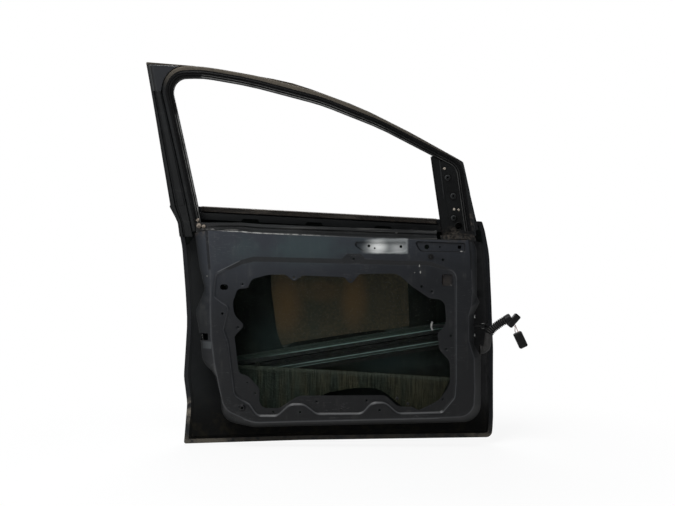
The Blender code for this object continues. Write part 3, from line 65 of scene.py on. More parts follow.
# An arc's steps in degrees, and the longest stretch of an outline in one piece
TURN, LONGEST = 9.0, 36.0
LEAST_RADIUS = 3.0
# The middle of the skin's crown, and how far it reaches each way
CROWN_X, CROWN_WIDE, CROWN_HIGH = -435.0, 495.0, 362.0
GLASS_IN, GLASS_THICK = 28.0, 4.0
RUN_LEG_IN, FRAME_FACE, SASH_IN, SASH_EDGE, FRAME_WIDE = 47.0, 48.5, 12.0, 2.0, 34.0
FRAME_FOOT = 176.0
SCREW_R, CLIP_R, HINGE_BOLT_R, HINGE_BOLT_SPAN, HINGE_Y = 3.0, 4.0, 5.0, 40.0, -35.0
LOWER_HINGE_X, LOWER_HINGE_Z = 12.0, -272.0
CHECK_Z, CHECK_Y, BOLT_R, BOLT_SPAN, NOTCH_X = -129.0, -30.0, 3.0, 58.0, -9.0
LOCK_Z, LOCK_HIGH = -160.0, 21.0
# The stage, in metres and watts, and the floor's height in millimetres
CAMERA, DOOR_MIDDLE, FLOOR_Z = (-0.438, -3.265, 0.102), -0.44, -508.5
LAMPS = (
    ("key_lamp", (-1.1, -1.5, 2.5), 1.3, 78.0, (-0.45, 0.0, 0.0)),
    ("fill_lamp", (-2.6, -2.6, 0.9), 2.2, 26.0, (-0.4, 0.0, 0.0)),
    ("back_lamp", (-0.5, 3.0, 1.8), 2.6, 70.0, (-0.4, 0.0, 0.0)),
)
ROOM, ROOM_STRENGTH, WHITE = (0.94, 0.97, 1.0, 1.0), 0.255, (1.0, 1.0, 1.0, 1.0)
BOOT_R = 11.6
BOOT_ROUTE = [
    (12.3, -36, -206), (23, -36, -205), (33, -41, -194), (36, -48, -173), (40, -54, -150),
    (51.5, -55, -135.7), (65.8, -55, -124.7), (76.8, -55, -116.8), (87.8, -55, -110.5),
]
CONNECTOR, CONNECTOR_SIZE, CONNECTOR_TILT = (115.5, -55.0, -110.5), (21.0, 24.0, 46.0), 41.0
SMALL_CONNECTOR, SMALL_SIZE, SMALL_TILT = (137.6, -55.0, -171.3), (27.0, 20.0, 52.0), -25.0
LEAD_R = 1.1
LEAD_ENDS = [(-12.0, -7.5, -3.0, 7.5), (-7.0, 7.5, 3.0, -7.5)]

SKIN_OUTLINE = [
    (25, 203, 5), (35, 172, 60), (50, 99, 200), (58, -46, 300), (64, -205, 300), (61, -440, 300),
    (55, -487, 20), (-84, -489, 300), (-560, -496, 600), (-929, -507, 6), (-921, -380, 120),
    (-933, -294, 120), (-923, -120, 300), (-928, -20, 300), (-937, 120, 120), (-951, 204, 60),
    (-978, 256, 5),
]
RAISED_EDGE = [
    (-13, 143, 0), (0, 112, 60), (0, -36, 30), (9, -52, 9), (-9, -88, 12), (-9, -186, 12), (12, -222, 14),
    (12, -318, 40), (12, -428, 95), (-129, -432, 300), (-560, -442, 600), (-700, -446, 90),
    (-800, -424, 75), (-806, -345, 60), (-824, -278, 60), (-862, -240, 60), (-870, -160, 60),
    (-884, -80, 40), (-855, -12, 30), (-872, 60, 90), (-887, 165, 0),
]
FACE_EDGE = [
    (-30, 143, 0), (-25, 100, 60), (-19, -20, 40), (-22, -62, 20), (-31, -94, 20), (-31, -172, 20),
    (-14, -225, 40), (-12, -320, 40), (-16, -405, 70), (-140, -410, 200), (-560, -420, 400),
    (-700, -424, 90), (-790, -385, 60), (-803, -325, 60), (-820, -240, 60), (-830, -160, 60),
    (-833, -40, 60), (-833, 40, 90), (-842, 172, 0),
]
TOP_EDGE = [(-742, 171), (-680, 166), (-560, 161), (-408, 155), (-250, 149), (-103, 144)]
FIELD = [
    (-820, 36, 14), (-740, 80, 20), (-700, 91, 20), (-424, 84, 12), (-408, 100, 14), (-366, 100, 14),
    (-350, 82, 12), (-240, 78, 60), (-150, 76, 40), (-66, 44, 30), (-66, -300, 40), (-70, -350, 20),
    (-110, -398, 20), (-170, -400, 40), (-250, -402, 34), (-290, -368, 34), (-330, -368, 34),
    (-360, -402, 34), (-505, -403, 34), (-545, -373, 34), (-585, -373, 34), (-625, -409, 34),
    (-690, -409, 30), (-716, -372, 14), (-762, -344, 30), (-782, -180, 40), (-797, -138, 12),
    (-780, -68, 14), (-802, -54, 10), (-827, -34, 14),
]
FIELD_FLOOR = [
    (-812, 31, 14), (-736, 64, 20), (-698, 72, 24), (-240, 62, 60), (-152, 61, 40), (-73, 39, 23),
    (-73, -299, 33), (-77, -348, 16), (-114, -391, 16), (-172, -393, 34), (-248, -395, 28), (-287, -361, 40),
    (-333, -361, 40), (-362, -395, 28), (-503, -396, 28), (-542, -366, 40), (-588, -366, 40), (-627, -402, 28),
    (-687, -402, 23), (-711, -367, 20), (-755, -340, 23), (-775, -178, 46), (-789, -138, 5), (-772, -65, 20),
    (-797, -48, 4), (-819, -31, 8),
]
APERTURE = [
    (-766, -52, 50), (-750, -10, 16), (-719, -8, 10), (-706, 20, 20), (-655, 34, 60), (-600, 35, 22),
    (-574, 11, 12), (-548, 32, 22), (-415, 26, 14), (-397, 2, 10), (-370, 36, 16), (-250, 38, 50),
    (-206, -2, 30), (-150, -40, 24), (-104, -44, 26), (-97, -120, 50), (-126, -150, 18),
    (-120, -200, 30), (-87, -236, 30), (-86, -310, 60), (-120, -358, 60), (-184, -389, 10),
    (-206, -378, 8), (-248, -378, 36), (-288, -342, 30), (-560, -344, 50), (-620, -383, 30),
    (-682, -383, 26), (-682, -320, 20), (-718, -282, 12), (-746, -274, 20), (-760, -158, 12),
    (-728, -124, 12), (-760, -92, 40),
]
BRIGHT_POCKET = [(-402, 138, 16), (-360, 106, 26), (-286, 100, 20), (-222, 106, 10), (-222, 138, 8)]
MIRROR_POCKET = [(-200, 140, 8), (-182, 105, 20), (-38, 103, 6), (-38, 134, 6)]
SQUARE_POCKET = [(-112, 36, 8), (-112, -2, 10), (-77, -2, 10), (-77, 36, 8)]
RUN_LINE = [
    (-31, 152, 0), (-66, 371, 46), (-306, 491, 500), (-489, 561, 600), (-707, 616, 700),
    (-850, 640, 300), (-953, 637, 56), (-805, -150, 0),
]
FRAME_OUTLINE = [
    (12, 178, 0), (-42, 389, 5), (-207, 478, 600), (-368, 556, 600), (-576, 629, 700), (-842, 674, 900),
    (-1026, 688, 3), (-992, 411, 900), (-970, 249, 30), (-948, 198, 30), (-944, 160, 0),
]
TAB_HOLE = (-387, 84, 3.2)
# Inner belt rail at its rear end: its top edge and its cabin face, where the braze lumps sit
RAIL_TOP = 195
RAIL_FACE = -59.5
SEAL_CORNER, SEAL_CORNER_R = (-932, 618), 82.0
FIELD_HOLES = [
    (-735, 5, SCREW_R), (-574, 26, SCREW_R), (-397, 18, SCREW_R), (-175, -3, CLIP_R), (-143, -18, SCREW_R),
    (-749, -130, SCREW_R), (-84, -157, CLIP_R), (-98, -198, SCREW_R), (-695, -336, SCREW_R),
    (-109, -355, SCREW_R), (-503, -362, SCREW_R), (-347, -359, SCREW_R), (-427, -389, 2.2),
    (-720, -303, 2.2), (-639, -394, 3.5),
]
FACE_HOLES = [
    (-797, -87, CLIP_R), (-555, -394, CLIP_R), (-307, -388, CLIP_R), (-147, 90, 7.0), (-109, 81, CLIP_R),
]
POCKET_HOLES = [
    (-340, 124, 4.5), (-322, 117, 3.0), (-240, 122, 4.5), (-159, 121, 7.5), (-118, 121, 3.0),
]
BOSS_X, BOSS_Z, BOSS_R, BOSS_HIGH = -735.0, -380.0, 11.0, 6.0
MIRROR_BOSSES = [(-93, 338), (-74, 281), (-71, 212)]
MIRROR_BOSS_R, MIRROR_BOSS_HIGH = 10.5, 6.0
MIRROR_HOLE = (-55, 187, 11.0)
MIRROR_RIVETS = [(-103, 366), (-70, 240), (-56, 238)]
MIRROR_RAMP, MIRROR_FOOT, RIVET_R, RIVET_HIGH = 170.0, 145.5, 4.0, 2.4
# How far in the mirror plate lies, where the mirror corner ends at the rear, and its web's lower edge
PLATE_IN, CORNER_REAR_X, WEB_FOOT = RUN_LEG_IN - 0.5, -160.0, 196.0
BAR_WIDE, BAR_HEAD, BAR_FOOT = 26.0, (-146.0, 409.0), (-113.0, 210.0)
HANDLE_DISH = [(-905, 150, 34), (-905, 82, 34), (-742, 78, 34), (-742, 146, 34)]
HANDLE_DEPTH = 9.0
HANDLE_HOLES = [(-870, 115, 9.0), (-778, 112, 7.0)]
LOBE_REAR_Z, LOBE_FRONT_Z = -415.0, -403.0
GLASS_OUTLINE = [
    (-122, -46, 22), (-284, 26, 400), (-467, 96, 400), (-685, 138, 600), (-846, 140, 30), (-806, -150, 200),
    (-786, -300, 80), (-740, LOBE_REAR_Z, 60), (-560, LOBE_REAR_Z, 60), (-480, -346, 70), (-380, -326, 300),
    (-300, -330, 100), (-215, LOBE_FRONT_Z, 30), (-130, LOBE_FRONT_Z, 50), (-74, -291, 12), (-107, -286, 4),
]


def side(z):
    """Y of the curved body side at this height."""
    return SIDE_RISE - (SIDE_RADIUS - math.sqrt(SIDE_RADIUS ** 2 - (z - SIDE_MID) ** 2))


def skin_y(x, z):
    """Y of the outer skin's own sheet, which is crowned a little between its edges."""
    across = max(0.0, 1.0 - ((x - CROWN_X) / CROWN_WIDE) ** 4)
    upright = max(0.0, 1.0 - ((z - SIDE_MID) / CROWN_HIGH) ** 4)
    return side(z) + CROWN * across * upright


def arcs(corners, closed, turn):
    """Points of an outline whose corners are (x, z, radius), with each corner drawn as an arc."""
    count = len(corners)
    points = []
    for i, (x, z, radius) in enumerate(corners):
        here = Vector((x, z))
        if not closed and i in (0, count - 1):
            points.append(here)
            continue
        back = Vector(corners[i - 1][:2]) - here
        ahead = Vector(corners[(i + 1) % count][:2]) - here
        bend = math.pi - back.angle(ahead)
        if radius <= 0.0 or bend < math.radians(1.0):
            points.append(here)
            continue
        reach = radius * math.tan(bend / 2)
        room = 0.49 * min(back.length, ahead.length)
        if reach > room:
            radius *= room / reach
            reach = room
        start = here + back.normalized() * reach
        middle = here + (back.normalized() + ahead.normalized()).normalized() * radius / math.cos(bend / 2)
        spoke = start - middle
        sense = 1.0 if back.x * ahead.y - back.y * ahead.x < 0 else -1.0
        steps = max(1, math.ceil(math.degrees(bend) / turn))
        for k in range(steps + 1):
            angle = sense * bend * k / steps
            points.append(middle + Vector((
                spoke.x * math.cos(angle) - spoke.y * math.sin(angle),
                spoke.x * math.sin(angle) + spoke.y * math.cos(angle))))
    return points


def divided(points, closed, longest, follow=None):
    """The outline with its long stretches divided, or one that follows it point by point."""
    follow = follow or points
    result = []
    ends = len(points) if closed else len(points) - 1
    for i in range(ends):
        length = (points[(i + 1) % len(points)] - points[i]).length
        if length < 0.05:
            continue
        parts = max(1, round(length / longest))
        result.extend(follow[i].lerp(follow[(i + 1) % len(points)], k / parts) for k in range(parts))
    if not closed:
        result.append(follow[-1])
    return result


def rounded(corners, closed=True, turn=TURN, longest=LONGEST, inset=0.0):
    """A rounded outline, or its ring an inset further in, which has the same number of points."""
    outer = arcs(corners, closed, turn)
    if not inset:
        return divided(outer, closed, longest)
    return divided(outer, closed, longest, arcs(grown(corners, -inset), closed, turn))


def normals(points, closed=True):
    """For each point the mitred normal that points out of the outline, taken as if it were closed."""
    count = len(points)
    area = sum(a.x * b.y - a.y * b.x for a, b in zip(points, points[1:] + points[:1]))
    sense = 1.0 if area > 0 else -1.0
    result = []
    for i, here in enumerate(points):
        ways = []
        if closed or i > 0:
            ways.append((here - points[i - 1]).normalized())
        if closed or i < count - 1:
            ways.append((points[(i + 1) % count] - here).normalized())
        sides = [Vector((way.y, -way.x)) * sense for way in ways]
        mean = sum(sides, Vector((0, 0))).normalized()
        result.append(mean / max(0.5, mean.dot(sides[0])))
    return result


def moved_out(points, distance, closed=True):
    """The outline moved outwards by a distance."""
    return [p + n * distance for p, n in zip(points, normals(points, closed))]


def grown(corners, distance, closed=True):
    """Corners of the outline moved outwards by a distance, with the radii changed to match."""
    points = [Vector(corner[:2]) for corner in corners]
    shifts = normals(points, closed)
    count = len(points)
    area = sum(a.x * b.y - a.y * b.x for a, b in zip(points, points[1:] + points[:1]))
    result = []
    for i, ((x, z, radius), shift) in enumerate(zip(corners, shifts)):
        before, after = points[i] - points[i - 1], points[(i + 1) % count] - points[i]
        bulges = (before.x * after.y - before.y * after.x) * area > 0
        if radius > 0.0:
            radius = max(LEAST_RADIUS, radius + (distance if bulges else -distance))
        result.append((x + shift.x * distance, z + shift.y * distance, radius))
    return result


def circle(x, z, radius, sides=20):
    return [Vector((x + radius * math.cos(2 * math.pi * k / sides),
                    z + radius * math.sin(2 * math.pi * k / sides))) for k in range(sides)]


def lifted(points, y_of):
    """Drawing points over plan points, with Y from a function of the plan point."""
    return [(p.x, y_of(p), p.y) for p in points]


def flat_ring(points, y, closed=True):
    """A contour at one depth."""
    return points, lifted(points, lambda p: y), closed


def side_ring(points, inwards, closed=True):
    """A contour on the curved side, moved inwards."""
    return points, lifted(points, lambda p: side(p.y) - inwards), closed


def inside(point, polygon):
    """Whether a point lies in a closed outline."""
    hit = False
    for i, a in enumerate(polygon):
        b = polygon[i - 1]
        if (a[1] > point[1]) != (b[1] > point[1]):
            if point[0] < (b[0] - a[0]) * (point[1] - a[1]) / (b[1] - a[1]) + a[0]:
                hit = not hit
    return hit


def triangulated(boundary, contours, holes, extra=()):
    """Triangles between contours in plan. Each contour is (plan points, solid points, closed)."""
    plan, solid, edges = [], [], []
    known = {}

    def number(point, place):
        key = (round(point[0], 2), round(point[1], 2))
        if key not in known:
            known[key] = len(plan)
            plan.append(Vector((point[0], point[1])))
            solid.append(place)
        return known[key]

    for points, places, closed in [boundary, *contours, *holes]:
        row = [number(p, q) for p, q in zip(points, places)]
        pairs = zip(row, row[1:] + row[:1]) if closed else zip(row, row[1:])
        edges.extend((a, b) for a, b in pairs if a != b)
    for point, place in extra:
        number(point, place)
    out, _, faces, origins, _, _ = delaunay_2d_cdt(plan, edges, [], 0, 0.001, True)
    places = []
    for spot, origin in zip(out, origins):
        if not origin:
            raise ValueError(f"two contours cross near {spot}")
        places.append(solid[origin[0]])
    hole_plans = [hole[0] for hole in holes]
    kept = []
    for face in faces:
        a, b, c = (out[i] for i in face)
        if abs((b - a).cross(c - a)) < SLIVER:
            continue
        centre = (a + b + c) / 3
        if inside(centre, boundary[0]) and not any(inside(centre, plan_) for plan_ in hole_plans):
            kept.append(tuple(face))
    return places, kept


def place_of(p):
    """A drawing point in metres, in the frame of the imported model."""
    return p[0] * MM, (p[1] + OUT) * MM, p[2] * MM


def linked(name, data):
    obj = bpy.data.objects.new(name, data)
    bpy.context.scene.collection.objects.link(obj)
    return obj


class Edited:
    """A mesh opened for editing and written back at the end."""

    def __init__(self, data):
        self.data, self.bm = data, bmesh.new()

    def __enter__(self):
        self.bm.from_mesh(self.data)
        return self.bm

    def __exit__(self, *_):
        self.bm.to_mesh(self.data)
        self.bm.free()


def filled(bm, verts, faces):
    """Put drawing points and faces into an open mesh."""
    made = [bm.verts.new(place_of(p)) for p in verts]
    for face in faces:
        bm.faces.new([made[i] for i in face])


def solid(name, verts, faces):
    """A closed body from drawing points, its faces turned outwards."""
    data = bpy.data.meshes.new(name)
    with Edited(data) as bm:
        filled(bm, verts, faces)
        bmesh.ops.recalc_face_normals(bm, faces=bm.faces)
    return linked(name, data)


def pressing(name, boundary, contours, holes, thickness, extra=()):
    """A pressed sheet: the contours give its cabin face, and its thickness lies behind them."""
    data = bpy.data.meshes.new(name)
    with Edited(data) as bm:
        filled(bm, *triangulated(boundary, contours, holes, extra))
        bmesh.ops.delete(bm, geom=[v for v in bm.verts if not v.link_faces], context="VERTS")
    return modified(linked(name, data), "SOLIDIFY", thickness=thickness * MM, offset=-1.0, use_even_offset=True,
                    use_quality_normals=True)


def tube_faces(rings, size):
    """Faces of a closed tube of rings, with its two ends last."""
    faces = []
    for first in range(0, (rings - 1) * size, size):
        for k in range(size):
            a, b = first + k, first + (k + 1) % size
            faces.append((a, b, b + size, a + size))
    last = (rings - 1) * size
    return faces + [tuple(range(size)), tuple(range(last, last + size))]


def sweep(name, path, profile, place, worn=()):
    """A closed profile carried along a path, with an optional list of one value per point, ring by ring, kept on the
    mesh for the painted highlights.
    """
    verts = [place(point, normal, spot, i)
             for i, (point, normal) in enumerate(zip(path, normals(path, closed=False))) for spot in profile]
    faces = tube_faces(len(path), len(profile))
    faces[-1] = faces[-1][::-1]
    body = solid(name, verts, faces)
    if worn:
        body.data.attributes.new("worn", "FLOAT", "POINT").data.foreach_set("value", worn)
    return body


def turned(name, rows, base, axis, sides=28):
    """A turned piece: rows are (distance along the axis, radius), closed at both ends."""
    way = Vector(axis).normalized()
    first = way.orthogonal().normalized()
    second = way.cross(first)
    verts = []
    for along, radius in rows:
        for k in range(sides):
            angle = 2 * math.pi * k / sides
            spoke = first * math.cos(angle) + second * math.sin(angle)
            verts.append(Vector(base) + way * along + spoke * radius)
    return solid(name, verts, tube_faces(len(rows), sides))


def block(name, low, high):
    verts = [(x, y, z) for x in (low[0], high[0]) for y in (low[1], high[1]) for z in (low[2], high[2])]
    faces = [(0, 1, 3, 2), (4, 6, 7, 5), (0, 4, 5, 1), (2, 3, 7, 6), (0, 2, 6, 4), (1, 5, 7, 3)]
    return solid(name, verts, faces)


def cut(target, tool):
    """Cut one body out of another, then remove the tool."""
    modified(target, "BOOLEAN", operation="DIFFERENCE", solver="EXACT", object=tool)
    bpy.data.objects.remove(tool)


def drilled(target, base, radius, deep, way=(1, 0, 0)):
    """Cut a round hole from a point along a direction."""
    cut(target, turned("hole", [(0, radius), (deep, radius)], base, way))


def plain_mesh(obj):
    """The object's mesh with its live modifiers applied."""
    deps = bpy.context.evaluated_depsgraph_get()
    return bpy.data.meshes.new_from_object(obj.evaluated_get(deps), depsgraph=deps)


def modified(obj, kind, **settings):
    """Run one modifier on an object and keep the result as its plain mesh."""
    step = obj.modifiers.new(kind.lower(), kind)
    for key, value in settings.items():
        setattr(step, key, value)
    data = plain_mesh(obj)
    obj.modifiers.clear()
    obj.data = data
    return obj


def smoothed(obj, edge=0.0, segments=2, sharp=32.0):
    """Break the edges, shade the rounds smooth and keep the flats flat."""
    if edge:
        modified(obj, "BEVEL", width=edge * MM, segments=segments, limit_method="ANGLE",
                 angle_limit=math.radians(sharp), use_clamp_overlap=True)
    obj.data.shade_smooth()
    obj.data.set_sharp_from_angle(angle=math.radians(sharp + 8.0))
    return modified(obj, "WEIGHTED_NORMAL", weight=80, keep_sharp=True)


def copied(node, edge, segments, sharp):
    """A merged copy of a CAD node with broken edges."""
    data = frame["nodes"][node].data.copy()
    with Edited(data) as bm:
        bmesh.ops.remove_doubles(bm, verts=bm.verts, dist=2e-6)
        bmesh.ops.dissolve_limit(bm, angle_limit=math.radians(0.6), verts=bm.verts, edges=bm.edges)
    data.materials.clear()
    data.name = node + "_dressed"
    return smoothed(linked(data.name, data), edge, segments, sharp)


def dressed(obj, paint, body="door_shell", nodes=()):
    """Give a finished piece its material, its body and the CAD nodes that it stands for."""
    obj.data.materials.clear()
    obj.data.materials.append(paint)
    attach(obj, body)
    if nodes:
        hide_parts(*nodes)
    return obj


def redone(node, edge, paint, segments=2, sharp=32.0, body="door_shell"):
    """Put a copy with broken edges and a finish in the place of a CAD node."""
    return dressed(copied(node, edge, segments, sharp), paint, body, [node])


def maths(operation, swapped=False):
    """A method of Level that puts a maths node after its socket."""
    def method(self, *others):
        terms = (*others, self) if swapped else (self, *others)
        made = self.tree.node("ShaderNodeMath", {"operation": operation}, dict(enumerate(terms)))
        return Level(self.tree, made.outputs[0])
    return method


class Level:
    """A number socket of a node tree that can stand in a sum."""

    def __init__(self, tree, socket):
        self.tree, self.socket = tree, socket

    __add__, __radd__ = maths("ADD"), maths("ADD", True)
    __sub__, __rsub__ = maths("SUBTRACT"), maths("SUBTRACT", True)
    __mul__, __rmul__ = maths("MULTIPLY"), maths("MULTIPLY", True)
    __truediv__, __pow__, __abs__ = maths("DIVIDE"), maths("POWER"), maths("ABSOLUTE")
    __gt__, __lt__ = maths("GREATER_THAN"), maths("LESS_THAN")
    most, remainder = maths("MAXIMUM"), maths("FRACT")


class Tree:
    """A node tree in the making."""

    def __init__(self, tree):
        self.tree = tree
        tree.nodes.clear()

    def node(self, kind, settings=None, sockets=None):
        """Add a node with its settings, and with a value or a link for each socket."""
        made = self.tree.nodes.new(kind)
        for key, value in (settings or {}).items():
            setattr(made, key, value)
        for key, value in (sockets or {}).items():
            if isinstance(value, Level):
                value = value.socket
            if isinstance(value, bpy.types.NodeSocket):
                self.tree.links.new(value, made.inputs[key])
            else:
                made.inputs[key].default_value = value
        return made

    def blended(self, share, first, second):
        """One shader over another, as much as share says."""
        return self.node("ShaderNodeMixShader", {}, {0: share, 1: first.outputs[0], 2: second.outputs[0]})

    def seen(self):
        """1 for a ray from the camera, also through glass."""
        path = self.node("ShaderNodeLightPath")
        return Level(self, path.outputs["Is Camera Ray"]).most(Level(self, path.outputs["Is Transmission Ray"]))


class Finish(Tree):
    """A material in the making: its place on the door, its masks and the colour laid so far."""

    def __init__(self, name):
        self.material = bpy.data.materials.new(name)
        self.material.use_nodes = True
        super().__init__(self.material.node_tree)
        self.colour = None
        self.where = self.node("ShaderNodeTexCoord").outputs["Object"]
        parts = self.node("ShaderNodeSeparateXYZ", {}, {0: self.where})
        self.x, self.y, self.z = (Level(self, parts.outputs[k]) for k in range(3))

    def noise(self, scale, detail=3.0, rough=0.55, streak=None):
        """Cloudy noise, or streaks where streak scales it along X and Z."""
        where = self.where
        if streak:
            scales = (streak[0], 1.0, streak[1])
            where = self.node("ShaderNodeMapping", {}, {0: where, "Scale": scales}).outputs[0]
        made = self.node("ShaderNodeTexNoise", {}, {
            "Vector": where, "Scale": scale, "Detail": detail, "Roughness": rough})
        return Level(self, made.outputs[0])

    def cells(self, scale):
        made = self.node("ShaderNodeTexVoronoi", {}, {"Vector": self.where, "Scale": scale})
        return Level(self, made.outputs[0])

    def kept(self, name):
        """A number that the mesh keeps at each point."""
        return Level(self, self.node("ShaderNodeAttribute", {"attribute_name": name}).outputs["Fac"])

    def ramp(self, value, low, high):
        """0 below low, 1 above high, smooth between."""
        made = self.node("ShaderNodeMapRange", {"interpolation_type": "SMOOTHSTEP"}, {
            0: value, 1: low, 2: high, 3: 0.0, 4: 1.0})
        return Level(self, made.outputs[0])

    def fall(self, value, low, high):
        """1 below low, 0 above high, smooth between."""
        return 1.0 - self.ramp(value, low, high)

    def band(self, value, low, high, soft):
        """1 between two levels of a value, in metres."""
        return self.ramp(value, low - soft, low + soft) * self.fall(value, high - soft, high + soft)

    def patch(self, x, z, wide, high, soft=0.6):
        """A soft oval at a place of the drawing, in millimetres."""
        across = (self.x - x * MM) * (1000.0 / wide)
        upright = (self.z - z * MM) * (1000.0 / high)
        far = (across * across + upright * upright) ** 0.5
        return self.fall(far, 1.0 - soft, 1.0 + soft * 0.4)

    def patches(self, first, *others):
        """Several soft ovals as one mask."""
        mask = self.patch(*first)
        for spot in others:
            mask = mask.most(self.patch(*spot))
        return mask

    def mix(self, share, first, second):
        sockets = {0: share, 6: opaque(first), 7: opaque(second)}
        return self.node("ShaderNodeMix", {"data_type": "RGBA"}, sockets).outputs[2]

    def ground(self, level, low, high, first, second):
        """Begin the colour: the first where a level is low, the second where it is high."""
        self.colour = self.mix(self.ramp(level, low, high), first, second)

    def tones(self, level, low, high, name, dark, light):
        """Begin the colour with a dark and a light tone of one of the door's colours."""
        self.ground(level, low, high, tint(name, dark), tint(name, light))

    def coat(self, share, colour):
        """Lay a colour over what is there, as much as share says."""
        self.colour = self.mix(share, self.colour, colour)

    def bump(self, height, strength, distance=0.001, under=None):
        sockets = {"Height": height, "Strength": strength, "Distance": distance}
        if under is not None:
            sockets["Normal"] = under
        return self.node("ShaderNodeBump", {}, sockets).outputs[0]

    def shader(self, colour, rough, normal=None, **others):
        sockets = {"Base Color": opaque(colour), "Roughness": rough}
        if normal is not None:
            sockets["Normal"] = normal
        sockets.update({key.replace("_", " "): value for key, value in others.items()})
        return self.node("ShaderNodeBsdfPrincipled", {}, sockets)

    def painted(self, rough, normal, specular=0.5, **others):
        """The finished material, with the colour laid so far."""
        return self.done(self.shader(self.colour, rough, normal, Specular_IOR_Level=specular, **others))

    def done(self, shader):
        self.node("ShaderNodeOutputMaterial", {}, {0: shader.outputs[0]})
        return self.material


def opaque(colour):
    """A colour with its alpha, or a socket as it is."""
    return colour if isinstance(colour, bpy.types.NodeSocket) else (*colour, 1.0)


def tint(name, amount=1.0):
    """One of the door's colours, made darker or lighter."""
    return [channel * amount for channel in getattr(bpy.context.scene.door_colours, name)]


def material(name):
    """Name the material that a function paints; it is made once, and found again after that."""
    def named(paint):
        def found():
            return bpy.data.materials.get(name) or paint(Finish(name))
        return found
    return named


def sizes():
    return bpy.context.scene.door_sizes


